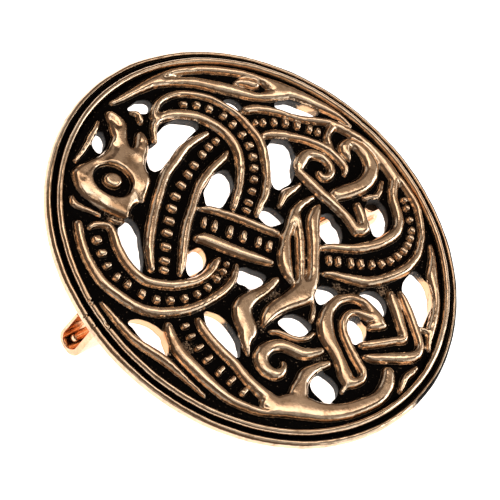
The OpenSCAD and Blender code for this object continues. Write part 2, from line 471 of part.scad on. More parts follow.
// The catch is a copper gutter under the pin's tip. One side rises to the disc's back and the
// other ends in a free lip.
module catch() {
    bowl_r = catch_w / 2;
    bowl_z = bowl_r - 0.08;
    side = -slot_shift;
    color([0.8, 0.45, 0.25])
        on_back(catch_x)
            upright(catch_l)
                difference() {
                    union() {
                        translate([side, bowl_z])
                            circle(bowl_r);
                        translate([side - bowl_r, bowl_z])
                            square([bowl_r, back_h - fit - bowl_z]);
                        translate([side, bowl_z])
                            square([bowl_r, lip_h - bowl_z]);
                    }
                    translate([0, pin_low])
                        circle(slot_w / 2);
                    translate([-slot_w / 2, pin_low])
                        square([slot_w, back_h]);
                    translate([side - bowl_r, -1])
                        square([catch_w, 1]);
                }
}

// The hinge has a foot on the disc's back, two lugs that stand as high as the catch, and a
// rivet with a flat head outside each lug
module hinge() {
    foot_l = 3;
    foot_t = 0.6;
    head_t = 0.35;
    color([0.72, 0.5, 0.3])
        on_back(hinge_x)
            union() {
                translate([-foot_l / 2, -hinge_w / 2, back_h - fit - foot_t])
                    cube([foot_l, hinge_w, foot_t]);
                for (side = [-1, 1])
                    translate([0, side * (hinge_w - lug_t) / 2, 0])
                        lengthwise(lug_t)
                            polygon([[-0.9, 0], [0.9, 0], [1.1, 0.4], [1.35, pin_high],
                                [foot_l / 2, back_h - fit - foot_t / 2],
                                [-foot_l / 2, back_h - fit - foot_t / 2], [-1.35, pin_high],
                                [-1.1, 0.4]]);
                translate([0, hinge_w / 2 + head_t, pin_high])
                    rotate([90, 0, 0])
                        cylinder(d = rivet_d, h = hinge_w + 2 * head_t);
                for (side = [-1, 1])
                    translate([0, side * (hinge_w + head_t) / 2, pin_high])
                        rotate([90, 0, 0])
                            cylinder(d = rivet_d + 0.9, h = head_t, center = true);
            }
}

// The pin is a straight wire with a barrel round the rivet and a point in the catch
module pin() {
    reach = hinge_x - catch_x;
    point_l = 2.6;
    tip_d = 0.5;
    shank_l = (reach - 0.4) / cos(pin_slope) - point_l;
    color([0.8, 0.5, 0.32])
        on_back(hinge_x)
            translate([0, 0, pin_high])
                difference() {
                    union() {
                        rotate([90, 0, 0])
                            cylinder(d = barrel_d, h = barrel_l, center = true);
                        rotate([0, -90 - pin_slope, 0]) {
                            cylinder(d = pin_d, h = shank_l);
                            translate([0, 0, shank_l])
                                cylinder(d1 = pin_d, d2 = tip_d, h = point_l);
                        }
                    }
                    rotate([90, 0, 0])
                        cylinder(d = rivet_d + 0.2, h = barrel_l + 1, center = true);
                }
}

openwork_disc();
catch();
hinge();
pin();
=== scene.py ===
import math

import bpy
import numpy as np
from mathutils import Matrix, Vector
from mathutils.geometry import delaunay_2d_cdt


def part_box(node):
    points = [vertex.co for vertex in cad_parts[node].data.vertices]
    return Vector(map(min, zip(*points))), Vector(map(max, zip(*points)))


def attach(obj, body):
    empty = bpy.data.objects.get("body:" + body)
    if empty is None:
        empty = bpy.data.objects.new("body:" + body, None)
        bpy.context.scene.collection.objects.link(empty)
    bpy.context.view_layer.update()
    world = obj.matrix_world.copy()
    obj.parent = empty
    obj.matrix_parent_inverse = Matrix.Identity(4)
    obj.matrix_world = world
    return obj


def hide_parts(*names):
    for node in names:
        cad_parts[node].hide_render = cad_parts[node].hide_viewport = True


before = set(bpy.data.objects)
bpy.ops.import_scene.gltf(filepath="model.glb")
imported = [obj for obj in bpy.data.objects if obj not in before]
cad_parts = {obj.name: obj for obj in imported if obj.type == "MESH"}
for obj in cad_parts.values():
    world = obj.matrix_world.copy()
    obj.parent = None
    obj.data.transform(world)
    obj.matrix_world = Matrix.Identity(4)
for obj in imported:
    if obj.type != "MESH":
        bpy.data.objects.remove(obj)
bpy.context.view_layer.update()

# Sizes are in millimetres from here on, and become metres where a mesh is made
MM = 0.001
disc_low, disc_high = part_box("openwork_disc")
BACK_Z = disc_low.z / MM
TOP_Z = disc_high.z / MM
DISC_R = disc_high.x / MM
PLATE_T = 0.95
BEAD_H = 0.5
FLOOR_Z = BACK_Z + PLATE_T
BEAD_TOP_Z = FLOOR_Z + BEAD_H
RELIEF = TOP_Z - FLOOR_Z
# How far in from the disc's edge the relief sheet ends and the rim begins, and the flat back ends
RIM_WIDE = 1.58
BACK_IN = 0.75
RELIEF_R = DISC_R - RIM_WIDE
BACK_R = DISC_R - BACK_IN
# The pin's line: its turn from X in degrees, and how far it passes from the disc's middle
PIN_TURN = 30
PIN_OFF = 0.8
PIN_D = 1.1
# How far in from the disc's edge the hinge's rivet and the catch's outer end lie
HINGE_IN = 4.7
CATCH_IN = 1.6
# Heights of the pin's middle in the hinge and in the catch
HINGE_PIN_Z = 3.4
CATCH_PIN_Z = 1.3


# Outlines taken from the frame
def walk(links):
    """Chains of linked points. A closed chain doesn't repeat its first point."""
    out = []
    ends = [k for k, v in links.items() if len(v) % 2 == 1]
    for start in ends + list(links):
        while links[start]:
            chain = [start]
            here = start
            while links[here]:
                following = links[here].pop()
                links[following].remove(here)
                chain.append(following)
                here = following
                if here == start:
                    break
            closed = len(chain) > 2 and chain[0] == chain[-1]
            out.append(chain[:-1] if closed else chain)
    return out


def border(tris):
    """The loops of edges that belong to one triangle only."""
    used = {}
    for a, b, c in tris:
        for p, q in ((a, b), (b, c), (c, a)):
            edge = (min(p, q), max(p, q))
            used[edge] = used.get(edge, 0) + 1
    links = {}
    for (p, q), times in used.items():
        if times == 1:
            links.setdefault(p, []).append(q)
            links.setdefault(q, []).append(p)
    return walk(links)


def threes(data, key, kind):
    """Three numbers for each point or triangle of a mesh."""
    out = np.zeros(len(data) * 3, kind)
    data.foreach_get(key, out)
    return out.reshape(-1, 3)


# How far a flat face's points may lie from its height, and the decimals that make two points one
FLAT = 0.003
DECIMALS = 4


def level_loops(node, z):
    """Outlines round the flat faces of a CAD node at one height."""
    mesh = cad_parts[node].data
    mesh.calc_loop_triangles()
    co = threes(mesh.vertices, "co", np.float32) / MM
    tri = threes(mesh.loop_triangles, "vertices", np.int32)
    tri = tri[(np.abs(co[tri][:, :, 2] - z) < FLAT).all(1)]
    keys = {}
    same = np.zeros(len(co), np.int64)
    for v in np.unique(tri):
        place = (round(float(co[v, 0]), DECIMALS), round(float(co[v, 1]), DECIMALS))
        same[v] = keys.setdefault(place, len(keys))
    points = np.array(list(keys))
    return [points[loop] for loop in border(same[tri].tolist()) if len(loop) > 2]


# Fields on a fine grid over the disc, which ends under the rim
STEP = 0.04
GRID_IN = 0.8
HALF = DISC_R - GRID_IN
CELLS = int(round(2 * HALF / STEP)) + 1
AXIS = -HALF + STEP * np.arange(CELLS)


def distance_field(loops, reach):
    """Distance to the outlines, positive inside them and cut off at reach."""
    nearest = np.full((CELLS, CELLS), reach * reach)
    cross = np.zeros((CELLS, CELLS + 1), np.int32)
    for loop in loops:
        for a, b in zip(loop, np.roll(loop, -1, 0)):
            e = b - a
            low, high = np.minimum(a, b) - reach, np.maximum(a, b) + reach
            i0, j0 = np.maximum(np.floor((low + HALF) / STEP).astype(int), 0)
            i1, j1 = np.minimum(np.ceil((high + HALF) / STEP).astype(int) + 1, CELLS)
            if i0 >= i1 or j0 >= j1:
                continue
            x, y = AXIS[i0:i1][None, :] - a[0], AXIS[j0:j1][:, None] - a[1]
            t = np.clip((x * e[0] + y * e[1]) / max(e @ e, 1e-12), 0, 1)
            part = nearest[j0:j1, i0:i1]
            np.minimum(part, (x - t * e[0]) ** 2 + (y - t * e[1]) ** 2, out=part)
            y0, y1 = min(a[1], b[1]), max(a[1], b[1])
            j = np.arange(math.ceil((y0 + HALF) / STEP), math.ceil((y1 + HALF) / STEP))
            j = j[(j >= 0) & (j < CELLS)]
            if len(j):
                xc = a[0] + (AXIS[j] - a[1]) * e[0] / e[1]
                i = np.clip(np.ceil((xc + HALF) / STEP).astype(int), 0, CELLS)
                np.add.at(cross, (j, i), 1)
    inside = np.cumsum(cross, 1)[:, :CELLS] % 2 == 1
    return np.where(inside, 1, -1) * np.sqrt(nearest)


def blur(field, sigma):
    """Gaussian blur of a field."""
    s = sigma / STEP
    r = math.ceil(3 * s)
    k = np.exp(-0.5 * (np.arange(-r, r + 1) / s) ** 2)
    k /= k.sum()
    out = np.pad(field, r, mode="edge")
    out = sum(k[i] * out[:, i:i + CELLS] for i in range(2 * r + 1))
    return sum(k[i] * out[i:i + CELLS, :] for i in range(2 * r + 1))


def at(field, xy):
    """Field values at any points."""
    u = np.clip((np.asarray(xy) + HALF) / STEP, 0, CELLS - 1.001)
    i = u.astype(int)
    fx, fy = (u - i).T
    x, y = i.T
    return ((field[y, x] * (1 - fx) + field[y, x + 1] * fx) * (1 - fy)
            + (field[y + 1, x] * (1 - fx) + field[y + 1, x + 1] * fx) * fy)


# Which two sides of a grid cell a line crosses, by the corners above its level.
# Sides: 0 low, 1 right, 2 high, 3 left
CROSSED = {1: [(3, 0)], 2: [(0, 1)], 3: [(3, 1)], 4: [(1, 2)], 5: [(3, 0), (1, 2)], 6: [(0, 2)],
           7: [(3, 2)], 8: [(2, 3)], 9: [(0, 2)], 10: [(0, 1), (2, 3)], 11: [(1, 2)],
           12: [(1, 3)], 13: [(0, 1)], 14: [(0, 3)]}


# A field value nearer to the level than this is moved off it
OFF_LEVEL = 1e-6
# Lines with no more points than this are left out, and one keeps at least so many
SHORTEST, FEWEST = 5, 7


def contours(field, level):
    """Closed lines along which a field has one value."""
    g = field - level
    g = np.where(np.abs(g) < OFF_LEVEL, OFF_LEVEL, g)
    s = g > 0
    code = s[:-1, :-1] + 2 * s[:-1, 1:] + 4 * s[1:, 1:] + 8 * s[1:, :-1]
    links = {}
    for j, i in np.argwhere((code > 0) & (code < 15)).tolist():
        sides = ((0, j, i), (1, j, i + 1), (0, j + 1, i), (1, j, i))
        for p, q in CROSSED[int(code[j, i])]:
            links.setdefault(sides[p], []).append(sides[q])
            links.setdefault(sides[q], []).append(sides[p])
    out = []
    for chain in walk(links):
        if len(chain) > SHORTEST:
            up, j, i = np.array(chain).T
            j2, i2 = np.where(up == 1, j + 1, j), np.where(up == 1, i, i + 1)
            t = g[j, i] / (g[j, i] - g[j2, i2])
            out.append(np.c_[AXIS[i] + t * (i2 - i) * STEP, AXIS[j] + t * (j2 - j) * STEP])
    return out


def even(points, spacing):
    """The same closed line with its points spaced evenly."""
    p = np.vstack([points, points[:1]])
    s = np.r_[0, np.cumsum(np.hypot(*np.diff(p, axis=0).T))]
    n = max(FEWEST, int(round(s[-1] / spacing)))
    t = np.linspace(0, s[-1], n + 1)[:n]
    return np.c_[np.interp(t, s, p[:, 0]), np.interp(t, s, p[:, 1])]


# An uneven surface is a sum of sines: their count, their least pitch and what is drawn on top,
# their largest phase, and what the sum is divided by
SINES = 7
PITCH, PITCH_DRAWN = 0.6, 0.9
PHASE = 6.28
SINES_SCALE = 3.2


def wave(size, seed, *where):
    """Smooth unevenness, mostly between -1 and 1, with bumps of about one size."""
    draw = np.random.default_rng(seed)
    total = 0
    for _ in range(SINES):
        way = draw.normal(size=len(where))
        pitch = PITCH + PITCH_DRAWN * draw.random()
        way *= pitch / np.linalg.norm(way) * 2 * math.pi / size
        total = total + np.sin(sum(k * w for k, w in zip(way, where)) + draw.random() * PHASE)
    return total / SINES_SCALE


def waves(rows, *where):
    """Sum of uneven surfaces from rows of height, size of the bumps, and seed."""
    return sum(high * wave(size, seed, *where) for high, size, seed in rows)


def ramp(x, low, high):
    """0 up to low, 1 from high, smooth between."""
    t = np.clip((x - low) / (high - low), 0, 1)
    return t * t * (3 - 2 * t)


# The middle of the animal's eye. An outline is the eye's where its own middle is this near to it
# and it is no wider than this
EYE = (-13.22, 4.73)
EYE_MIDDLE = 0.6
EYE_WIDEST = 4.6
# Hollows and swellings of the wide forms: middle x and y, radius, how far it rises. By row: the
# leaf in the ear's tip, the head's middle, the other ear's ridge, the snout and the cheek
SCULPTED = ((-12.55, 11.2, 0.3, -0.2), (-12.3, 10.8, 0.3, -0.2), (-12.1, 10.4, 0.28, -0.14),
            (-11.4, 6.9, 0.8, -0.08), (-12.3, 8.2, 0.7, -0.08),
            (-9.75, 9.3, 0.35, 0.1), (-9.9, 8.4, 0.4, 0.12), (-10.2, 7.5, 0.5, 0.1),
            (-16.3, 2.2, 1.4, -0.3), (-14.6, 2.9, 0.8, 0.1), (-10.6, 3.3, 1.0, -0.3),
            (-11.9, 3.9, 0.6, 0.08))
# The crease inside the strip along the head's upper left edge
CREASE = ((-16.3, 4.5), (-15.9, 5.2), (-15.1, 5.85), (-14.3, 6.4), (-13.5, 6.95), (-12.85, 7.6),
          (-12.6, 8.4))
CREASE_W, CREASE_DEEP = 0.22, 0.12
# Dark spots on the polished metal, and brown grains beside them: middle x and y, radius, strength.
# The third to the sixth rows lie on the head's hollows and crease and are painted shade; the
# others are stains
STAINS_AND_HOLLOW_SHADE = ((-13.5, 1.4, 1.1, 0.9), (-12.4, 1.5, 0.8, 0.9), (-11.4, 6.9, 0.8, 0.8),
          (-12.4, 10.6, 0.6, 0.8), (-13.2, 6.7, 0.7, 0.5), (-16.6, 4.4, 0.5, 0.7),
          (-4.3, -3.3, 0.7, 0.9), (-2.6, -3.8, 0.7, 0.9), (0.0, -4.6, 0.9, 1), (1.7, -4.8, 0.8, 1),
          (-9.8, -11.6, 1.0, 1), (-8.0, -11.4, 0.9, 1), (12.4, -2.8, 0.8, 1), (10.0, -3.6, 0.9, 1),
          (7.8, -3.3, 0.7, 1), (3.7, -7.0, 0.7, 1), (-0.4, -8.0, 0.7, 0.9), (5.1, -10.6, 0.7, 0.9))


def bulge(d, reach):
    """A round rise from 0 at the edge to 1 at a distance."""
    return np.sqrt(1 - (1 - np.clip(d / reach, 0, 1)) ** 2)


def spots(table, x, y):
    """Sum of round smooth spots."""
    return sum(s * np.exp(-((x - cx) ** 2 + (y - cy) ** 2) / r ** 2) for cx, cy, r, s in table)


def from_line(line, x, y, width):
    """1 on a broken line, falling to 0 beside it."""
    best = np.zeros_like(x)
    for (ax, ay), (bx, by) in zip(line, line[1:]):
        t = ((x - ax) * (bx - ax) + (y - ay) * (by - ay)) / ((bx - ax) ** 2 + (by - ay) ** 2)
        t = np.clip(t, 0, 1)
        apart = (x - ax - t * (bx - ax)) ** 2 + (y - ay - t * (by - ay)) ** 2
        best = np.maximum(best, np.exp(-apart / width ** 2))
    return best


# How far the distances reach, and how far they and at last the height are blurred
RIDGE_REACH, BEAD_REACH, FORM_REACH = 2.2, 1.0, 3.2
RIDGE_BLUR, BEAD_BLUR, GAP_BLUR, FORM_BLUR, LAST_BLUR = 0.08, 0.035, 0.09, 0.12, 0.05
# An outline at the beads' height that is wider than this isn't a bead's
BEAD_WIDEST = 3
# Ragged outlines and uneven ground as rows for waves, and how much more ragged a bead is
RAGGED = ((0.016, 0.9, 13), (0.008, 0.4, 14))
BEAD_RAGGED = 1.3
UNEVEN = ((0.02, 3.1, 11), (0.012, 1.1, 12))
# The share of the unevenness that a ridge's top keeps, and how far the ground sinks
TOP_UNEVEN, SUNK = 0.25, 0.012
# A gap's outline: the space between its points, how far it moves, the ledge beside a ridge
GAP_POINTS, GAP_IN, LEDGE = 0.12, 0.02, 0.04
# A ridge's side stands so far outside its outline. Its crown rounds over this width, less near
# the eye. Its middle and the wide forms rise on over longer ones
SIDE = 0.14
CROWN_W, EYE_CROWN_LESS, EYE_NEAR, EYE_FAR = 0.45, 0.17, 2.0, 2.4
MIDDLE_TIMES, FORM_W = 1.8, 1.7
CROWN_SHARE, MIDDLE_SHARE, FORM_SHARE = 0.5, 0.28, 0.27
# A bead's side, and the share and width of the two curves of its dome
BEAD_SIDE = 0.04
DOME = ((0.75, 0.22), (0.3, 0.55))


def relief_fields():
    """Distance to the ornament, distance to the openings, and the ornament's height."""
    raised = level_loops("openwork_disc", TOP_Z)
    beads = level_loops("openwork_disc", BEAD_TOP_Z)
    beads = [p for p in beads if np.ptp(p, 0).max() < BEAD_WIDEST]
    gaps = [p for p in level_loops("openwork_disc", BACK_Z) if np.hypot(*p.T).max() < RELIEF_R]
    print("outlines:", len(raised), "raised,", len(beads), "beads,", len(gaps), "gaps")
    x, y = np.meshgrid(AXIS, AXIS)
    ragged = waves(RAGGED, x, y)
    d_ridge = blur(distance_field(raised, RIDGE_REACH), RIDGE_BLUR) + ragged
    d_bead = blur(distance_field(beads, BEAD_REACH), BEAD_BLUR) + BEAD_RAGGED * ragged
    d_gap = distance_field([even(p, GAP_POINTS) for p in gaps], RIDGE_REACH)
    d_gap = np.minimum(blur(d_gap, GAP_BLUR) - GAP_IN, -LEDGE - d_ridge)
    d_gap = blur(d_gap, LAST_BLUR)
    # The eye is a sharp cut in the head, so it doesn't count where wide forms are domed
    no_eye = [p for p in raised
              if np.hypot(*(p.mean(0) - EYE)) > EYE_MIDDLE or np.ptp(p, 0).max() > EYE_WIDEST]
    d_form = blur(distance_field(no_eye, FORM_REACH), FORM_BLUR)
    from_eye = np.hypot(x - EYE[0], y - EYE[1])
    reach = CROWN_W - EYE_CROWN_LESS * (1 - ramp(from_eye, EYE_NEAR, EYE_FAR))
    crown = bulge(d_ridge + SIDE, reach)
    middle = bulge(d_ridge + SIDE, reach * MIDDLE_TIMES)
    form = crown * bulge(d_form + SIDE, FORM_W)
    ridge_h = RELIEF * (CROWN_SHARE * crown + MIDDLE_SHARE * middle + FORM_SHARE * form)
    dome = sum(share * bulge(d_bead + BEAD_SIDE, wide) for share, wide in DOME)
    height = blur(np.maximum(ridge_h, (BEAD_TOP_Z - FLOOR_Z) * dome), LAST_BLUR)
    height += waves(UNEVEN, x, y) * np.clip(1 - height / RELIEF, TOP_UNEVEN, 1) - SUNK
    crease = CREASE_DEEP * from_line(CREASE, x, y, CREASE_W)
    height += (spots(SCULPTED, x, y) - crease) * crown
    return np.maximum(d_ridge, d_bead), d_gap, height


# The disc: relief, opening walls, rim and back in one closed mesh
class Shell:
    """Points in millimetres with their values, and faces."""

    def __init__(self):
        self.points, self.faces, self.values, self.size = [], [], [], 0

    def add(self, xyz, polish, wall=0.0, back=0.0, across=0.0, stain=0.0):
        """Adds points and gives their numbers. Polishing marks run along lines of equal across."""
        n = len(xyz)
        self.points.append(np.asarray(xyz, float))
        columns = (polish, wall, back, across, stain)
        self.values.append(np.stack([np.broadcast_to(v, n) for v in columns], 1))
        self.size += n
        return np.arange(self.size - n, self.size)

    def band(self, a, b):
        """Faces between two rings of points that turn the same way."""
        a2, b2 = np.roll(a, -1), np.roll(b, -1)
        self.faces += np.c_[a, a2, b2, b].tolist()


# Angles round the rim in degrees, closer together where the casting is nicked
RIM_STEP = 0.75
NICKED = (203, 216)
NICKED_STEP = 0.15
rim_angles = np.r_[np.arange(0, 360, RIM_STEP), np.arange(*NICKED, NICKED_STEP)]
rim_angles = np.unique(rim_angles.round(DECIMALS))

# Lines of equal distance from the ornament's outlines, with the space between their points
LEVELS = ((-0.32, 0.3), (-0.18, 0.2), (-0.12, 0.18), (-0.08, 0.18), (-0.03, 0.18), (0.03, 0.18),
          (0.1, 0.18), (0.18, 0.19), (0.28, 0.22), (0.42, 0.26), (0.65, 0.3), (0.95, 0.35))


def circle(radius):
    """Points at the rim's angles."""
    a = np.radians(rim_angles)
    return radius * np.c_[np.cos(a), np.sin(a)]


def holds(loop, xy):
    """Which points a closed line goes round."""
    out = np.zeros(len(xy), bool)
    near = np.nonzero(((xy > loop.min(0)) & (xy < loop.max(0))).all(1))[0]
    x, y = xy[near].T
    count = np.zeros(len(near), int)
    for (ax, ay), (bx, by) in zip(loop, np.roll(loop, -1, 0)):
        if ay != by:
            count += ((ay > y) != (by > y)) & (x < ax + (y - ay) * (bx - ax) / (by - ay))
    out[near] = count % 2 == 1
    return out


def mesh_flat(lines, loose, outer, openings):
    """Triangles between lines and loose points, inside the outer line and outside the openings.

    Gives the points, the triangles, and which of the points put in each point is."""
    points, edges = [], []
    for line, closed in lines:
        k, n = len(points), len(line)
        points += line.tolist()
        edges += [(k + i, k + (i + 1) % n) for i in range(n if closed else n - 1)]
    points += loose.tolist()
    verts, _, tris, given, *_ = delaunay_2d_cdt([Vector(p) for p in points], edges, [], 0, 1e-5)
    xy = np.array([tuple(v) for v in verts])
    tris = np.array(tris)
    middle = xy[tris].mean(1)
    keep = holds(outer, middle)
    for line in openings:
        keep &= ~holds(line, middle)
    tris = tris[keep]
    a, b, c = xy[tris].transpose(1, 0, 2)
    clockwise = (b - a)[:, 0] * (c - a)[:, 1] < (b - a)[:, 1] * (c - a)[:, 0]
    tris[clockwise] = tris[clockwise][:, ::-1]
    return xy, tris, np.array([g[0] if g else -1 for g in given])


def stretches(line, keep):
    """The parts of a closed line whose points are kept, each with whether it is closed."""
    if keep.all():
        return [(line, True)]
    if not keep.any():
        return []
    first = int(np.argmin(keep))
    line, keep = np.roll(line, -first, 0), np.roll(keep, -first)
    ends = np.nonzero(np.diff(np.r_[False, keep, False].astype(int)))[0].reshape(-1, 2)
    return [(line[a:b], False) for a, b in ends if b - a > 1]


def turning(loop, xy):
    """A loop of point numbers, turned anticlockwise."""
    loop = np.array(loop)
    x, y = xy[loop].T
    area = (x * np.roll(y, -1) - np.roll(x, -1) * y).sum()
    return loop if area > 0 else loop[::-1]


def loose_points(half, spacing, shift, seed):
    """Points on a square grid, each shifted a little at random."""
    axis = np.arange(-half, half, spacing)
    points = np.array(np.meshgrid(axis, axis)).reshape(2, -1).T
    return points + np.random.default_rng(seed).uniform(-shift, shift, points.shape)


# Space between the points on an opening's edge
OPENING_POINTS = 0.14
# The line beside an opening: its distance, its points' spacing, how clear of the ornament it is
BESIDE, BESIDE_POINTS, BESIDE_CLEAR = 0.09, 0.24, 0.07
# A line no wider than this goes round a bead, and has its points closer together
SMALL, SMALL_POINTS = 1.4, 0.11
# How clear lines stay of openings and rim
LINE_CLEAR, LINE_RIM_CLEAR = 0.045, 0.1
# Loose points between the lines: spacing, shift, seed, and how clear they stay of the openings,
# the rim, and the ornament's outlines from outside and inside
LOOSE, LOOSE_SHIFT, LOOSE_SEED = 0.42, 0.06, 7
LOOSE_CLEAR, LOOSE_RIM_CLEAR, LOOSE_OUTSIDE, LOOSE_INSIDE = 0.22, 0.2, 0.42, 0.56
# Polishing marks follow the outlines as far in as this
MARKS_REACH = 0.45
# A loop of edges this near to the rim is the relief's own edge
EDGE_BAND = 0.3


def add_relief(shell, d_all, d_gap, height):
    """The ornamented front. Gives the point numbers of its edge and of each opening's edge."""
    openings = [even(line, OPENING_POINTS) for line in contours(d_gap, 0.0)]
    outer = circle(RELIEF_R)
    lines = [(outer, True)] + [(line, True) for line in openings]
    for line in contours(d_gap, -BESIDE):
        line = even(line, BESIDE_POINTS)
        lines += stretches(line, at(d_all, line) < -BESIDE_CLEAR)
    for level, spacing in LEVELS:
        for line in contours(d_all, level):
            small = np.ptp(line, 0).max() < SMALL
            line = even(line, SMALL_POINTS if small else spacing)
            lines += stretches(line, (at(d_gap, line) < -LINE_CLEAR)
                               & (np.hypot(*line.T) < RELIEF_R - LINE_RIM_CLEAR))
    loose = loose_points(RELIEF_R, LOOSE, LOOSE_SHIFT, LOOSE_SEED)
    d = at(d_all, loose)
    loose = loose[(at(d_gap, loose) < -LOOSE_CLEAR)
                  & (np.hypot(*loose.T) < RELIEF_R - LOOSE_RIM_CLEAR)
                  & ((d < -LOOSE_OUTSIDE) | (d > LOOSE_INSIDE))]
    xy, tris, _ = mesh_flat(lines, loose, outer, openings)
    h = at(height, xy)
    numbers = shell.add(np.c_[xy, FLOOR_Z + h], h / RELIEF, stain=spots(STAINS_AND_HOLLOW_SHADE, *xy.T),
                        across=np.minimum(at(d_all, xy), MARKS_REACH))
    shell.faces += numbers[tris].tolist()
    edge, inner = [], []
    for loop in border(tris.tolist()):
        at_rim = np.hypot(*xy[loop].T).mean() > RELIEF_R - EDGE_BAND
        (edge if at_rim else inner).append(turning(loop, xy))
    print("relief:", len(tris), "faces,", len(inner), "openings,", len(edge), "edge")
    first = int(np.argmin(np.abs(np.arctan2(*xy[edge[0]].T[::-1]))))
    return numbers[np.roll(edge[0], -first)], [numbers[loop] for loop in inner]


# An opening's side from its upper to its lower edge: how far it stands out into the opening,
# and how far down it is. The opening widens towards the back
WALL = ((0.02, 0.03), (0.035, 0.1), (0.02, 0.3), (-0.03, 0.6), (-0.07, 0.9), (-0.08, 1.0))
# Where the openings' sides are bare metal: middle x and y, radius, strength
BARE_WALLS = ((11.6, 5.5, 0.9, 1), (-5.2, -1.4, 1.3, 1), (-12.2, -9.6, 1.6, 1),
              (-11.0, -10.2, 1.2, 0.9), (-10.0, -11.2, 1.2, 1), (-4.7, -7.9, 1.3, 1.1),
              (6.8, -4.4, 1.0, 1), (9.6, -7.1, 1.1, 1), (16.2, -2.0, 1.4, 1.1),
              (16.3, -4.5, 1.5, 1.1), (16.2, -7.0, 1.3, 1.1), (7.4, 15.1, 1.1, 0.8))
# Lumps in the openings' sides as rows for waves, and the least slope that gives a full direction
WALL_LUMPS = ((0.5, 0.9, 21),)
LEAST_SLOPE = 0.3
# The back's hollow: its depth, the width over which it sinks, and its lumps
BACK_SUNK, BACK_SUNK_W = 0.018, 1.5
BACK_LUMPS = ((0.6, 5.3, 31), (0.3, 1.4, 32))


def back_height(xy):
    """Height of the slightly uneven back."""
    inside = ramp(BACK_R - np.hypot(*xy.T), 0, BACK_SUNK_W)
    return BACK_Z + inside * BACK_SUNK * (1 + waves(BACK_LUMPS, *xy.T))


def add_walls(shell, loops, d_gap):
    """The sides of the openings. Gives the loops where they meet the back."""
    dy, dx = np.gradient(d_gap, STEP)
    points = np.vstack(shell.points)
    low = []
    for loop in loops:
        top = points[loop]
        way = np.c_[at(dx, top[:, :2]), at(dy, top[:, :2])]
        way /= np.maximum(np.linalg.norm(way, axis=1), LEAST_SLOPE)[:, None]
        depth = top[:, 2] - BACK_Z
        last = loop
        bare = np.minimum(spots(BARE_WALLS, *top[:, :2].T), 1)
        for out, down in WALL:
            z = top[:, 2] - depth * down
            lumps = 1 + waves(WALL_LUMPS, top[:, 0], top[:, 1], z)
            xy = top[:, :2] + way * (out * lumps)[:, None]
            if down == 1:
                z = back_height(xy)
            ring = shell.add(np.c_[xy, z], 0.0, wall=1.0, stain=bare)
            shell.band(ring, last)
            last = ring
        low.append(last)
    return low


# The rim's section from the relief's edge outwards: distance in from the disc's edge, height
# above the plate, and how far it is polished
RIM = ((1.55, 0.05, 0.0), (1.52, 0.2, 0.3), (1.47, 0.36, 0.6), (1.38, 0.47, 1.0),
       (1.26, 0.525, 1.0), (1.12, 0.475, 1.0), (1.01, 0.37, 0.45), (0.95, 0.2, 0.1),
       (0.91, -0.02, 0.0), (0.85, -0.23, 0.0), (0.74, -0.31, 0.0), (0.62, -0.27, 0.0),
       (0.55, -0.12, 0.15), (0.49, 0.02, 0.6), (0.4, 0.11, 1.0))
# The outer bead goes on over the disc's edge, on this radius and through these degrees
EDGE_R = 0.55
EDGE_TURN = np.arange(60, -101, -10)
# The side of the disc's edge that is made black: its direction from the middle in degrees, and
# the cosines and the distances from the edge between which the black comes in
BLACK_SIDE = 15
BLACK_COSINES = (0.15, 0.6)
BLACK_BAND = (0.36, 0.26)
# Unevenness of the rim's radius and height as rows for waves, how far the radius shrinks, and
# the width and height over which they come in
RIM_WAVES = ((0.022, 7.0, 41), (0.013, 2.2, 42))
RIM_LUMPS = ((0.014, 4.0, 43), (0.014, 1.2, 44))
RIM_SHRINK = 0.012
RIM_FREE_W, RIM_FREE_H = 0.3, 0.4
# The rim's lowest stretch turns from front to back over this height
TO_BACK = 0.35

# Damage to the casting: angle and width in degrees, depth, and the radii between which it lies
DAMAGE = ((205.3, 0.35, 0.3, 18.3, 19.1), (206.2, 0.25, 0.2, 18.3, 19.1),
          (208.3, 0.22, 0.2, 19.2, 20.1), (212.9, 0.9, 0.12, 18.3, 19.0),
          (214.2, 0.3, 0.14, 18.3, 19.0), (211.6, 0.5, 0.06, 19.3, 20.1))
# It fades over this width at its radii, and between these heights above the back
DAMAGE_FADE = 0.25
DAMAGE_LOW, DAMAGE_HIGH = 0.3, 0.9


def smooth_rows(rows, parts):
    """Rows of numbers with more rows between them, along a smooth curve."""
    p = np.array(rows, float)
    p = np.vstack([2 * p[0] - p[1], p, 2 * p[-1] - p[-2]])
    out = []
    for a, b, c, d in zip(p, p[1:], p[2:], p[3:]):
        for t in np.arange(parts) / parts:
            out.append(0.5 * (2 * b + (c - a) * t + (2 * a - 5 * b + 4 * c - d) * t ** 2
                              + (3 * b - a - 3 * c + d) * t ** 3))
    return np.array(out + [p[-2]])


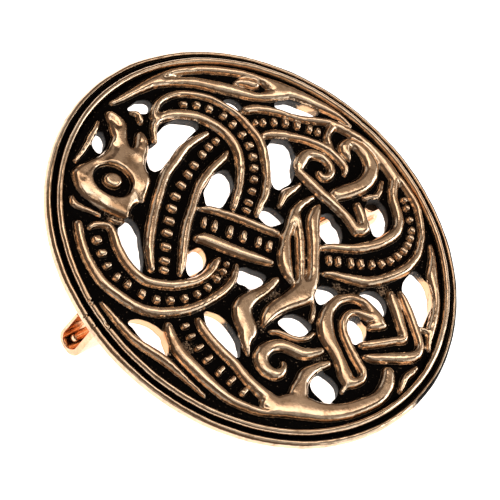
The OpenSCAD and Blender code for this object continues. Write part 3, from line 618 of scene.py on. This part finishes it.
def add_rim(shell, edge):
    """The rim with its two ridges. Gives the ring where it meets the back."""
    a = np.radians(rim_angles)
    across, along = np.cos(a), np.sin(a)
    rows = [(DISC_R - i, FLOOR_Z + h, polish) for i, h, polish in smooth_rows(RIM, 2)]
    for tilt in np.radians(EDGE_TURN):
        rows.append((DISC_R - EDGE_R * (1 - math.cos(tilt)),
                     BACK_Z + EDGE_R * (1 + math.sin(tilt)), 1.0))
    last = edge
    kept = ramp(np.cos(a - math.radians(BLACK_SIDE)), *BLACK_COSINES)
    for r, z, polish in rows:
        polish = polish * (1 - kept * ramp(r, *(DISC_R - i for i in BLACK_BAND)))
        free = ramp(r, RELIEF_R, RELIEF_R + RIM_FREE_W) * ramp(z, BACK_Z, BACK_Z + RIM_FREE_H)
        x, y = r * across, r * along
        # Three times the radius as a third place makes each row uneven in its own way
        radius = r + free * (waves(RIM_WAVES, x, y, 3 * r) - RIM_SHRINK)
        height = z + free * waves(RIM_LUMPS, x, y)
        for angle, width, depth, low, high in DAMAGE:
            span = ramp(r, low, low + DAMAGE_FADE) * (1 - ramp(r, high - DAMAGE_FADE, high))
            span *= ramp(z, BACK_Z + DAMAGE_LOW, BACK_Z + DAMAGE_HIGH)
            height -= span * depth * np.exp(-((rim_angles - angle) / width) ** 2)
        ring = shell.add(np.c_[radius * across, radius * along, height], polish,
                         back=1 - ramp(z, BACK_Z, BACK_Z + TO_BACK), across=r + z)
        shell.band(last, ring)
        last = ring
    ring = shell.add(np.c_[circle(BACK_R), np.full(len(a), BACK_Z)], 1.0, back=1.0)
    shell.band(last, ring)
    return ring


# Loose points on the back: spacing, shift, seed, and how clear they stay of the rim and, as a
# multiple of its size, of an opening
BACK_LOOSE, BACK_LOOSE_SHIFT, BACK_LOOSE_SEED = 0.75, 0.12, 8
BACK_RIM_CLEAR, BACK_CLEAR_TIMES = 0.5, 1.25


def add_back(shell, ring, low_loops):
    """The flat back, between the rim and the openings."""
    points = np.vstack(shell.points)[:, :2]
    outer = points[ring]
    openings = [points[loop] for loop in low_loops]
    loose = loose_points(BACK_R, BACK_LOOSE, BACK_LOOSE_SHIFT, BACK_LOOSE_SEED)
    keep = np.hypot(*loose.T) < BACK_R - BACK_RIM_CLEAR
    for line in openings:
        centre = line.mean(0)
        keep &= ~holds(centre + (line - centre) * BACK_CLEAR_TIMES, loose)
    loose = loose[keep]
    numbers = np.concatenate([ring] + low_loops)
    new = shell.add(np.c_[loose, back_height(loose)], 1.0, back=1.0)
    _, tris, given = mesh_flat([(outer, True)] + [(line, True) for line in openings], loose,
                               outer, openings)
    shell.faces += np.concatenate([numbers, new])[given[tris]][:, ::-1].tolist()
    print("back:", len(tris), "faces, crossings:", int((given < 0).sum()))


def linked(name, data):
    """An object for a mesh, a light or a camera, put in the scene."""
    obj = bpy.data.objects.new(name, data)
    bpy.context.collection.objects.link(obj)
    return obj


def new_mesh(name, points, faces, material=None):
    """A mesh with its material."""
    mesh = bpy.data.meshes.new(name)
    mesh.from_pydata(points.tolist(), [], faces)
    if material:
        mesh.materials.append(material)
    return mesh


def make_piece(name, points, faces, material, node, values=None):
    """A piece in metres that stands for a CAD node."""
    mesh = new_mesh(name, points * MM, faces, material)
    for key, column in (values or {}).items():
        attribute = mesh.attributes.new(key, "FLOAT", "POINT")
        attribute.data.foreach_set("value", column.astype(np.float32))
    mesh.polygons.foreach_set("use_smooth", [True] * len(mesh.polygons))
    mesh.update()
    obj = linked(name, mesh)
    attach(obj, "root")
    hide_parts(node)
    print(name, sum(len(f) - 2 for f in faces), "triangles")


def make_disc(material):
    """The cast disc."""
    d_all, d_gap, height = relief_fields()
    shell = Shell()
    edge, loops = add_relief(shell, d_all, d_gap, height)
    low_loops = add_walls(shell, loops, d_gap)
    ring = add_rim(shell, edge)
    add_back(shell, ring, low_loops)
    values = dict(zip(("polish", "wall", "back", "across", "stain"), np.vstack(shell.values).T))
    make_piece("cast_disc", np.vstack(shell.points), shell.faces, material,
               "openwork_disc", values)


# The fittings on the back. They are made along the pin's line, X towards the hinge, then turned
def on_back(points):
    """Points along the pin's line, put in the frame."""
    a = math.radians(PIN_TURN)
    x, y, z = np.asarray(points, float).T
    y = y + PIN_OFF
    return np.c_[x * math.cos(a) - y * math.sin(a), x * math.sin(a) + y * math.cos(a), z]


def rounded(corners, spacing):
    """A closed outline from corners (u, v, rounding), with even points."""
    out = []
    count = len(corners)
    for i, (u, v, r) in enumerate(corners):
        p = np.array((u, v), float)
        a = np.array(corners[i - 1][:2]) - p
        b = np.array(corners[(i + 1) % count][:2]) - p
        la, lb = np.linalg.norm(a), np.linalg.norm(b)
        start, end = p + a / la * min(r, 0.49 * la), p + b / lb * min(r, 0.49 * lb)
        for t in np.linspace(0, 1, 7):
            out.append((1 - t) ** 2 * start + 2 * t * (1 - t) * p + t * t * end)
    return even(np.array(out), spacing)


def inset(section, by):
    """An anticlockwise closed outline moved inwards."""
    way = np.roll(section, -1, 0) - np.roll(section, 1, 0)
    way /= np.linalg.norm(way, axis=1)[:, None]
    return section + by * np.c_[-way[:, 1], way[:, 0]]


def ring_faces(n, pairs):
    """Faces between rings of n points each, for pairs of ring numbers."""
    return [(k * n + i, k * n + (i + 1) % n, m * n + (i + 1) % n, m * n + i)
            for k, m in pairs for i in range(n)]


def stacked(rings):
    """A closed solid from rings of points with the same count, first ring to last."""
    n, last = len(rings[0]), len(rings) - 1
    faces = ring_faces(n, [(k, k + 1) for k in range(last)])
    faces.append(tuple(range(n - 1, -1, -1)))
    faces.append(tuple(range(last * n, last * n + n)))
    return np.vstack(rings), faces


def prism(section, low, high, bevel, gap=0.25):
    """A closed solid: an outline (u, v) between two heights w, its ends rounded."""
    turn = np.radians(np.linspace(0, 90, 5))
    ends = [(bevel * (1 - math.sin(t)), bevel * (1 - math.cos(t))) for t in turn]
    middle = np.linspace(low + bevel, high - bevel, max(2, int((high - low) / gap)))[1:-1]
    rows = ([(i, low + w) for i, w in ends] + [(0, w) for w in middle]
            + [(i, high - w) for i, w in ends[::-1]])
    return stacked([np.c_[inset(section, i), np.full(len(section), w)] for i, w in rows])


def tube(rows, sides):
    """A closed round solid along X from rows of place and radius."""
    a = 2 * math.pi * np.arange(sides) / sides
    return stacked([np.c_[np.full(sides, s), r * np.cos(a), r * np.sin(a)] for s, r in rows])


def arc(centre, radius, start, end, steps=16):
    """Points on an arc, angles in degrees."""
    a = np.radians(np.linspace(start, end, steps))
    return np.c_[centre[0] + radius * np.cos(a), centre[1] + radius * np.sin(a)]


def hollow_barrel(profile, steps):
    """A ring from a closed profile (radius, place), its axis along Y."""
    points = []
    for k in range(steps):
        a = 2 * math.pi * k / steps
        points += [(r * math.cos(a), w, r * math.sin(a)) for r, w in profile]
    return np.array(points), ring_faces(len(profile), [(k, (k + 1) % steps) for k in range(steps)])


def in_blender(parts):
    """One temporary object from several solids, in millimetres."""
    points, faces, k = [], [], 0
    for p, f in parts:
        points.append(p)
        faces += [tuple(i + k for i in face) for face in f]
        k += len(p)
    return linked("blank", new_mesh("blank", np.vstack(points), faces))


def evaluated(obj):
    """Points and faces of an object after its modifiers. The object goes."""
    shown = obj.evaluated_get(bpy.context.evaluated_depsgraph_get())
    mesh = shown.to_mesh()
    points = threes(mesh.vertices, "co", float)
    faces = [tuple(p.vertices) for p in mesh.polygons]
    shown.to_mesh_clear()
    bpy.data.objects.remove(obj)
    return points, faces


def fused(parts, voxel, rounds):
    """Solids melted into one, with soft inner corners like solder's."""
    obj = in_blender(parts)
    remesh = obj.modifiers.new("melt", "REMESH")
    remesh.mode = "VOXEL"
    remesh.voxel_size = voxel
    smooth = obj.modifiers.new("soften", "SMOOTH")
    smooth.iterations = rounds
    return evaluated(obj)


# The catch's inner end, as a distance in from the disc's edge
CATCH_END_IN = 4.8
# The fittings stay this far under the disc's back
BACK_CLEAR = 0.005


def make_catch(material):
    """The catch: a gutter under the pin's tip, one side soldered to the back, the other a lip."""
    outer_x, inner_x = -(DISC_R - CATCH_IN), -(DISC_R - CATCH_END_IN)
    width, slot_r, side, slot_z, lip_z = 2.64, 0.86, -0.14, CATCH_PIN_Z, 4.3
    foot_h, foot_out, foot_curve, lumps = 0.5, 0.3, 2.2, 0.02
    bowl = width / 2
    # The bowl hangs a little below the surface it stands on, and is cut flat there
    bowl_z = bowl - 0.08
    wall_top = BACK_Z - 0.02
    low_arc = arc((side, bowl_z), bowl, 180, 360)
    low_arc[:, 1] = np.maximum(low_arc[:, 1], 0.0)
    # Down the wall, round under the slot, up to the lip, over it, and back through the slot
    outline = np.vstack([
        [(side - bowl, wall_top)], low_arc,
        [(side + bowl, lip_z - 0.15), (side + bowl - 0.04, lip_z - 0.03),
         (side + bowl - 0.11, lip_z), (slot_r + 0.05, lip_z - 0.03), (slot_r, lip_z - 0.15)],
        arc((0, slot_z), slot_r, 0, -180), [(-slot_r, wall_top)]])
    outline = even(outline, 0.09)
    points, faces = prism(outline, outer_x, inner_x, bevel=0.1, gap=0.12)
    y, z, x = points.T
    # The wall's foot spreads into its solder
    foot = foot_out * np.clip((z - (wall_top - foot_h)) / foot_h, 0, 1) ** foot_curve
    mid_y, mid_x = side - bowl / 2 - slot_r / 2, (outer_x + inner_x) / 2
    on_wall = y < -slot_r + 0.01
    y = np.where(on_wall, y + foot * np.sign(y - mid_y), y)
    x = x + foot * np.clip((x - mid_x) / (inner_x - mid_x), -1, 1) * on_wall
    y = y + lumps * wave(2.4, 51, x, y, z)
    x = x + lumps * wave(2.0, 52, x, y, z)
    points, faces = fused([(np.c_[x, y, z], faces)], voxel=0.055, rounds=4)
    points[:, 2] = np.clip(points[:, 2], 0, BACK_Z - BACK_CLEAR)
    make_piece("catch_hook", on_back(points), faces, material, "catch")


def make_hinge(material):
    """The hinge: a foot, two lugs and a rivet with domed heads."""
    hinge_x, width, lug_t, foot_l, foot_t = DISC_R - HINGE_IN, 4.2, 0.8, 3.0, 0.6
    rivet_z, rivet_r, head_r, head_t = HINGE_PIN_Z, 0.5, 0.95, 0.35
    corner, spread, spread_h = 0.5, 0.07, 0.35
    top = BACK_Z - 0.01
    half, edge = foot_l / 2, width / 2
    foot = rounded([(-half, -edge, corner), (half, -edge, corner), (half, edge, corner),
                    (-half, edge, corner)], spacing=0.15)
    points, faces = prism(foot, top - foot_t, top, bevel=0.14)
    # The foot spreads into its solder
    rise = np.clip((points[:, 2:] - (top - spread_h)) / spread_h, 0, 1)
    points[:, :2] *= 1 + spread * rise ** 2
    parts = [(points, faces)]
    # A lug from its flat lower end, past the rivet, up into the foot
    lug = rounded([(-0.9, 0, 0.15), (0.9, 0, 0.15), (1.1, 0.4, 0.3), (1.35, rivet_z, 1.2),
                   (half - 0.05, top - 0.3, 0.2), (0.05 - half, top - 0.3, 0.2),
                   (-1.35, rivet_z, 1.2), (-1.1, 0.4, 0.3)], spacing=0.1)
    for sign in (-1, 1):
        p, f = prism(lug, -lug_t / 2, lug_t / 2, bevel=0.12)
        parts.append((np.c_[p[:, 0], sign * (edge - lug_t / 2) - p[:, 2], p[:, 1]], f))
    # Half of the rivet: its shank inside the lug, then its domed head
    end = [(edge - 0.3, rivet_r), (edge - 0.1, head_r)]
    end += [(edge + head_t * math.sin(t), head_r * math.cos(t) ** 0.8)
            for t in np.radians((0, 20, 40, 55, 70, 80, 87))]
    p, f = tube([(-s, r) for s, r in end[::-1]] + end, sides=48)
    parts.append((np.c_[-p[:, 1], p[:, 0], p[:, 2] + rivet_z], f))
    points, faces = fused(parts, voxel=0.07, rounds=4)
    x, y, z = points.T
    points = np.c_[x + hinge_x, y, np.clip(z, 0, BACK_Z - BACK_CLEAR)]
    make_piece("hinge_block", on_back(points), faces, material, "hinge")


def make_pin(material):
    """The pin: a barrel that turns on the rivet, and a wire that ends in a point."""
    hinge_x, rivet_z, barrel_r, bore_r, barrel_l = DISC_R - HINGE_IN, HINGE_PIN_Z, 1.3, 0.6, 2.4
    catch_x, low_z, point_l, wire_r = -(DISC_R - CATCH_IN), CATCH_PIN_Z, 2.6, PIN_D / 2
    # The wire is at its low height in the middle of the catch, and ends just inside its outer end
    half_catch = (CATCH_END_IN - CATCH_IN) / 2
    slope = math.atan2(rivet_z - low_z, hinge_x - catch_x - half_catch)
    length = (hinge_x - catch_x - 0.4) / math.cos(slope)
    half, e = barrel_l / 2, 0.15
    profile = [(bore_r, e / 2 - half), (bore_r + e / 2, -half), (barrel_r - e, -half),
               (barrel_r - e / 3, e / 3 - half), (barrel_r, e - half)]
    profile += [(barrel_r, w) for w in np.linspace(e - half, half - e, 15)[1:-1]]
    profile += [(r, -w) for r, w in profile[4::-1]]
    barrel = hollow_barrel(profile, steps=72)
    # Place along the wire and radius: its neck at the barrel, its straight length, its point
    rows = [(0.85, 0.62), (1.3, 0.66), (1.7, 0.6), (2.3, wire_r)]
    rows += [(s, wire_r) for s in np.arange(3.2, length - point_l, 0.8)]
    rows += [(length - point_l, wire_r), (length - point_l * 0.75, wire_r - 0.02),
             (length - point_l * 0.4, wire_r - 0.06), (length - 0.4, 0.43),
             (length - 0.16, 0.36), (length - 0.04, 0.22), (length, 0.06)]
    points, faces = tube(smooth_rows(rows, 3), sides=36)
    x, y, z = -points[:, 0], -points[:, 1], points[:, 2]
    wire = (np.c_[x * math.cos(slope) - z * math.sin(slope), y,
                  x * math.sin(slope) + z * math.cos(slope)], faces)
    tool = in_blender([wire])
    obj = in_blender([barrel])
    joint = obj.modifiers.new("join", "BOOLEAN")
    joint.operation = "UNION"
    joint.solver = "EXACT"
    joint.object = tool
    points, faces = evaluated(obj)
    bpy.data.objects.remove(tool)
    points = points + np.array((hinge_x, 0, rivet_z))
    make_piece("pin_wire", on_back(points), faces, material, "pin")


# Materials
BRONZE_PALE = (0.81, 0.6, 0.42, 1)
BRONZE_WARM = (0.76, 0.53, 0.355, 1)
BRONZE_MARK = (0.42, 0.27, 0.16, 1)
# Dark stain colour, also used as painted shade on the head's hollows and crease
BRONZE_STAIN_AND_SHADE = (0.27, 0.16, 0.085, 1)
BRONZE_FLANK_SHADE = (0.24, 0.17, 0.12, 1)
BRONZE_IN_OPENING = (0.72, 0.47, 0.27, 1)
BLACK_PATINA = (0.0014, 0.0007, 0.0006, 1)
COPPER_PALE = (0.94, 0.64, 0.44, 1)
COPPER_RED = (0.86, 0.5, 0.3, 1)
COPPER_TARNISH = (0.17, 0.06, 0.03, 1)
PAPER_DARK = (0.86, 0.86, 0.86, 1)
PAPER_LIGHT = (0.9, 0.9, 0.9, 1)
# Depths of bumps in millimetres
METAL_BUMP, MARKS_BUMP, PAPER_BUMP = 0.03, 0.04, 0.02
# A colour Mix node's colour sockets and result, by number
MIX_A, MIX_B, MIX_RESULT = 6, 7, 2


class Shader:
    """A material's node tree, built one node at a time."""

    def __init__(self, name):
        self.material = bpy.data.materials.new(name)
        self.material.use_nodes = True
        self.tree = self.material.node_tree
        self.surface = self.tree.nodes["Principled BSDF"]
        place = self.add("ShaderNodeTexCoord").outputs["Object"]
        self.place = self.vector("MULTIPLY", place, (1 / MM, 1 / MM, 1 / MM))

    def add(self, kind, **settings):
        made = self.tree.nodes.new(kind)
        for key, value in settings.items():
            setattr(made, key, value)
        return made

    def feed(self, socket, value):
        if isinstance(value, bpy.types.NodeSocket):
            self.tree.links.new(value, socket)
        else:
            socket.default_value = value

    def fill(self, made, **sockets):
        """Feeds a node's sockets by name and gives its first output."""
        for key, value in sockets.items():
            self.feed(made.inputs[key.replace("_", " ")], value)
        return made.outputs[0]

    def vector(self, operation, a, b):
        made = self.add("ShaderNodeVectorMath", operation=operation)
        self.feed(made.inputs[0], a)
        self.feed(made.inputs[1], b)
        return made.outputs[0]

    def math(self, operation, *values):
        made = self.add("ShaderNodeMath", operation=operation)
        for socket, value in zip(made.inputs, values):
            self.feed(socket, value)
        return made.outputs[0]

    def plus(self, a, b):
        return self.math("ADD", a, b)

    def times(self, a, b):
        return self.math("MULTIPLY", a, b)

    def most(self, a, b):
        return self.math("MAXIMUM", a, b)

    def noise(self, per_mm, detail, rough, place=None):
        """Noise with so many bumps to a millimetre, about 0.5 on average."""
        return self.fill(self.add("ShaderNodeTexNoise"), Vector=place or self.place,
                         Scale=per_mm, Detail=detail, Roughness=rough)

    def range(self, value, low, high, to_low=0.0, to_high=1.0):
        """A value's range stretched smoothly to another."""
        made = self.add("ShaderNodeMapRange", interpolation_type="SMOOTHSTEP")
        return self.fill(made, Value=value, From_Min=low, From_Max=high, To_Min=to_low,
                         To_Max=to_high)

    def between(self, mask, at_0, at_1):
        """A number that goes with a mask."""
        return self.range(mask, 0.0, 1.0, at_0, at_1)

    def mix(self, factor, a, b):
        """Colour a where the factor is 0 and b where it is 1."""
        made = self.add("ShaderNodeMix", data_type="RGBA")
        self.feed(made.inputs["Factor"], factor)
        self.feed(made.inputs[MIX_A], a)
        self.feed(made.inputs[MIX_B], b)
        return made.outputs[MIX_RESULT]

    def value(self, name):
        """A value that the mesh keeps at its points."""
        return self.add("ShaderNodeAttribute", attribute_name=name).outputs["Fac"]

    def bump(self, height, strength, distance, below=None):
        made = self.add("ShaderNodeBump")
        if below:
            self.feed(made.inputs["Normal"], below)
        return self.fill(made, Height=height, Strength=strength, Distance=distance * MM)

    def finish(self, **sockets):
        self.fill(self.surface, **sockets)
        return self.material


def bronze_material():
    """Cast bronze, polished on top, blackened in the recesses, rougher in the openings, with
    painted shade low on the ridges' sides and on the head's hollows and crease.
    """
    s = Shader("cast_bronze")
    wall, back, stained = s.value("wall"), s.value("back"), s.value("stain")
    grain = s.noise(5.0, detail=6.0, rough=0.6)
    patch = s.noise(0.35, detail=3.0, rough=0.5)
    speck = s.noise(9.0, detail=2.0, rough=0.5)

    # Where the metal is bare: on the polished tops, with a ragged border
    ragged = s.times(s.math("SUBTRACT", grain, 0.5), 0.3)
    polish = s.plus(s.value("polish"), ragged)
    bare = s.range(polish, 0.08, 0.2)
    # On the openings' sides, where the stain value says that the black has come off
    cleaned = s.plus(stained, s.times(s.noise(1.3, detail=4.0, rough=0.6), 1.1))
    bare = s.most(bare, s.times(wall, s.range(cleaned, 0.95, 1.25)))
    # On the back, apart from tarnished patches
    tarnish = s.range(s.noise(0.8, detail=5.0, rough=0.6), 0.3, 0.42)
    bare = s.most(bare, s.times(back, tarnish))
    # In grains in the black, more of them beside a stain, and beside the painted shade spots on
    # the head
    grains = s.plus(s.noise(6.0, detail=2.0, rough=0.6), s.times(stained, 0.25))
    bare = s.most(bare, s.range(grains, 0.68, 0.78, 0.0, 0.75))

    # Polishing marks run along lines of equal across, so their noise is squeezed across them
    lane = s.add("ShaderNodeCombineXYZ")
    s.feed(lane.inputs[0], s.times(s.value("across"), 13.0))
    marks = s.vector("ADD", s.vector("MULTIPLY", s.place, (0.9, 0.9, 0.9)), lane.outputs[0])
    marks = s.noise(1.0, detail=4.0, rough=0.6, place=marks)
    # Dark stains by noise and by the stain value; on the head's hollows and crease the stain value
    # is painted shade
    stain = s.plus(s.noise(1.1, detail=5.0, rough=0.65), s.times(stained, 0.3))
    metal = s.mix(s.range(patch, 0.35, 0.65), BRONZE_PALE, BRONZE_WARM)
    metal = s.mix(s.range(stain, 0.46, 0.8, 0.0, 0.75), metal, BRONZE_STAIN_AND_SHADE)
    metal = s.mix(s.range(marks, 0.4, 0.68, 0.0, 0.2), metal, BRONZE_MARK)
    # Painted shade: the metal is darker brown low on the ridges' sides, where they go down into
    # the recesses
    metal = s.mix(s.range(polish, 0.12, 0.3, 0.6, 0.0), metal, BRONZE_FLANK_SHADE)
    metal = s.mix(wall, metal, BRONZE_IN_OPENING)
    color = s.mix(bare, BLACK_PATINA, metal)

    rough = s.plus(s.between(bare, 0.42, 0.1), s.times(grain, 0.1))
    rough = s.plus(rough, s.times(wall, 0.16))
    normal = s.bump(s.noise(2.2, detail=3.0, rough=0.5), 0.35, METAL_BUMP)
    normal = s.bump(marks, s.between(bare, 0.0, 0.03), MARKS_BUMP, normal)
    normal = s.bump(grain, s.between(bare, 0.7, 0.22), METAL_BUMP, normal)
    sand = s.between(s.most(wall, back), 0.12, 0.5)
    normal = s.bump(speck, sand, METAL_BUMP, normal)
    return s.finish(Base_Color=color, Metallic=bare, Roughness=rough, Normal=normal,
                    Specular_IOR_Level=s.between(wall, 0.02, 0.4))


def copper_material():
    """Drawn and filed copper, darker in patches."""
    s = Shader("worn_copper")
    patch = s.noise(0.7, detail=4.0, rough=0.6)
    grain = s.noise(4.0, detail=5.0, rough=0.6)
    # File marks lie level, so their noise is squeezed in height
    level = s.vector("MULTIPLY", s.place, (1.0, 1.0, 6.0))
    filed = s.noise(3.0, detail=3.0, rough=0.6, place=level)
    metal = s.mix(s.range(patch, 0.35, 0.65), COPPER_PALE, COPPER_RED)
    tarnish = s.plus(s.noise(1.7, detail=5.0, rough=0.65), s.times(grain, 0.2))
    tarnish = s.range(tarnish, 0.55, 0.95, 0.0, 0.7)
    color = s.mix(tarnish, metal, COPPER_TARNISH)
    rough = s.range(grain, 0.2, 0.8, 0.07, 0.18)
    rough = s.plus(rough, s.times(tarnish, 0.2))
    normal = s.bump(filed, 0.12, METAL_BUMP)
    normal = s.bump(grain, 0.1, METAL_BUMP, normal)
    return s.finish(Base_Color=color, Metallic=1.0, Roughness=rough, Normal=normal)


# Stage, lights and camera
FLOOR_R = 400
FLOOR_STEP = 5
FLOOR_BELOW = 0.01
FLOOR_GLOW = 1.2


def floor_material():
    """Pale paper that glows, so that it comes out white as in an overexposed photograph."""
    s = Shader("pale_paper")
    fibre = s.noise(1.5, detail=4.0, rough=0.6)
    return s.finish(Base_Color=s.mix(fibre, PAPER_DARK, PAPER_LIGHT), Roughness=0.9,
                    Specular_IOR_Level=0.1, Emission_Color=(1, 1, 1, 1),
                    Emission_Strength=FLOOR_GLOW, Normal=s.bump(fibre, 0.05, PAPER_BUMP))


def make_floor():
    """A round pale floor under the brooch."""
    a = np.radians(np.arange(0, 360, FLOOR_STEP))
    z = np.full(len(a), -FLOOR_BELOW)
    points = np.c_[FLOOR_R * np.cos(a), FLOOR_R * np.sin(a), z] * MM
    obj = linked("floor", new_mesh("floor", points, [tuple(range(len(a)))], floor_material()))


# The softboxes' distance, and their watts for each square metre at a strength of 1
LIGHT_AWAY = 300
WATTS = 4
PLAIN = (0.89, 0.97, 1.0)
WARM = (1.0, 0.88, 0.75)
# Azimuth from X and elevation in degrees, width, height, strength, colour
SOFTBOXES = {
    "right": (0, 15, 160, 128, 3.0, PLAIN),
    "right_front": (-30, 15, 160, 128, 0.95, PLAIN),
    "right_back": (20, 30, 106, 84, 1.15, PLAIN),
    "overhead": (0, 89, 106, 106, 1.45, PLAIN),
    "high_back": (60, 68, 320, 116, 1.35, WARM),
    "high_left": (150, 68, 320, 116, 0.75, WARM),
    "high_front": (-30, 68, 320, 116, 0.42, PLAIN),
    "front": (-45, 42, 218, 138, 0.25, PLAIN),
    "back": (45, 42, 218, 138, 0.2, WARM),
    "back_left": (120, 15, 160, 128, 0.4, PLAIN),
    "front_left": (240, 15, 160, 128, 0.3, PLAIN),
}
ROOM_COLOUR = (0.135, 0.105, 0.085, 1)


def make_lights():
    """Soft studio light, and a dim warm room for the metal to reflect."""
    for name, (azimuth, elevation, width, height, strength, colour) in SOFTBOXES.items():
        a, e = math.radians(azimuth), math.radians(elevation)
        way = Vector((math.cos(a) * math.cos(e), math.sin(a) * math.cos(e), math.sin(e)))
        light = bpy.data.lights.new(name, "AREA")
        light.shape = "RECTANGLE"
        light.size, light.size_y = width * MM, height * MM
        light.energy = strength * WATTS * light.size * light.size_y
        light.color = colour
        obj = linked(name, light)
        obj.location = way * LIGHT_AWAY * MM
        obj.rotation_euler = way.to_track_quat("Z", "Y").to_euler()
        obj.visible_camera = False
    world = bpy.data.worlds.new("room")
    world.use_nodes = True
    world.node_tree.nodes["Background"].inputs["Color"].default_value = ROOM_COLOUR
    bpy.context.scene.world = world


# The photograph's camera: its right, up and back directions, and the point that it aims at
CAMERA_RIGHT = Vector((0.8987, -0.1181, 0.4223))
CAMERA_UP = Vector((-0.1181, 0.8622, 0.4926))
CAMERA_BACK = Vector((-0.4223, -0.4926, 0.761))
AIM_Z, AIM_LEFT, AIM_DOWN = 6.5, 0.108, 0.09
AIM = Vector((0, 0, AIM_Z)) - AIM_LEFT * CAMERA_RIGHT - AIM_DOWN * CAMERA_UP
CAMERA_AWAY = 1500
SENSOR_WIDE = 36
# The photograph's width in pixels, and its pixels to a millimetre of the disc
PHOTO_PIXELS = 500
PIXELS_PER_MM = 11.38
VIEW_WIDE = PHOTO_PIXELS / PIXELS_PER_MM
CLIP_NEAR, CLIP_FAR = 0.01, 10


def make_camera():
    """A long lens from the lower left, rolled as the photograph is."""
    data = bpy.data.cameras.new("photo_camera")
    data.sensor_width = SENSOR_WIDE
    data.lens = data.sensor_width * CAMERA_AWAY / VIEW_WIDE
    data.clip_start, data.clip_end = CLIP_NEAR, CLIP_FAR
    obj = linked("photo_camera", data)
    place = (AIM + CAMERA_BACK * CAMERA_AWAY) * MM
    turn = Matrix((CAMERA_RIGHT, CAMERA_UP, CAMERA_BACK)).transposed().to_4x4()
    obj.matrix_world = Matrix.Translation(place) @ turn
    bpy.context.scene.camera = obj


bronze, copper = bronze_material(), copper_material()
make_disc(bronze)
make_catch(copper)
make_hinge(copper)
make_pin(copper)
make_floor()
make_lights()
make_camera()
bpy.context.scene.view_settings.view_transform = "Standard"
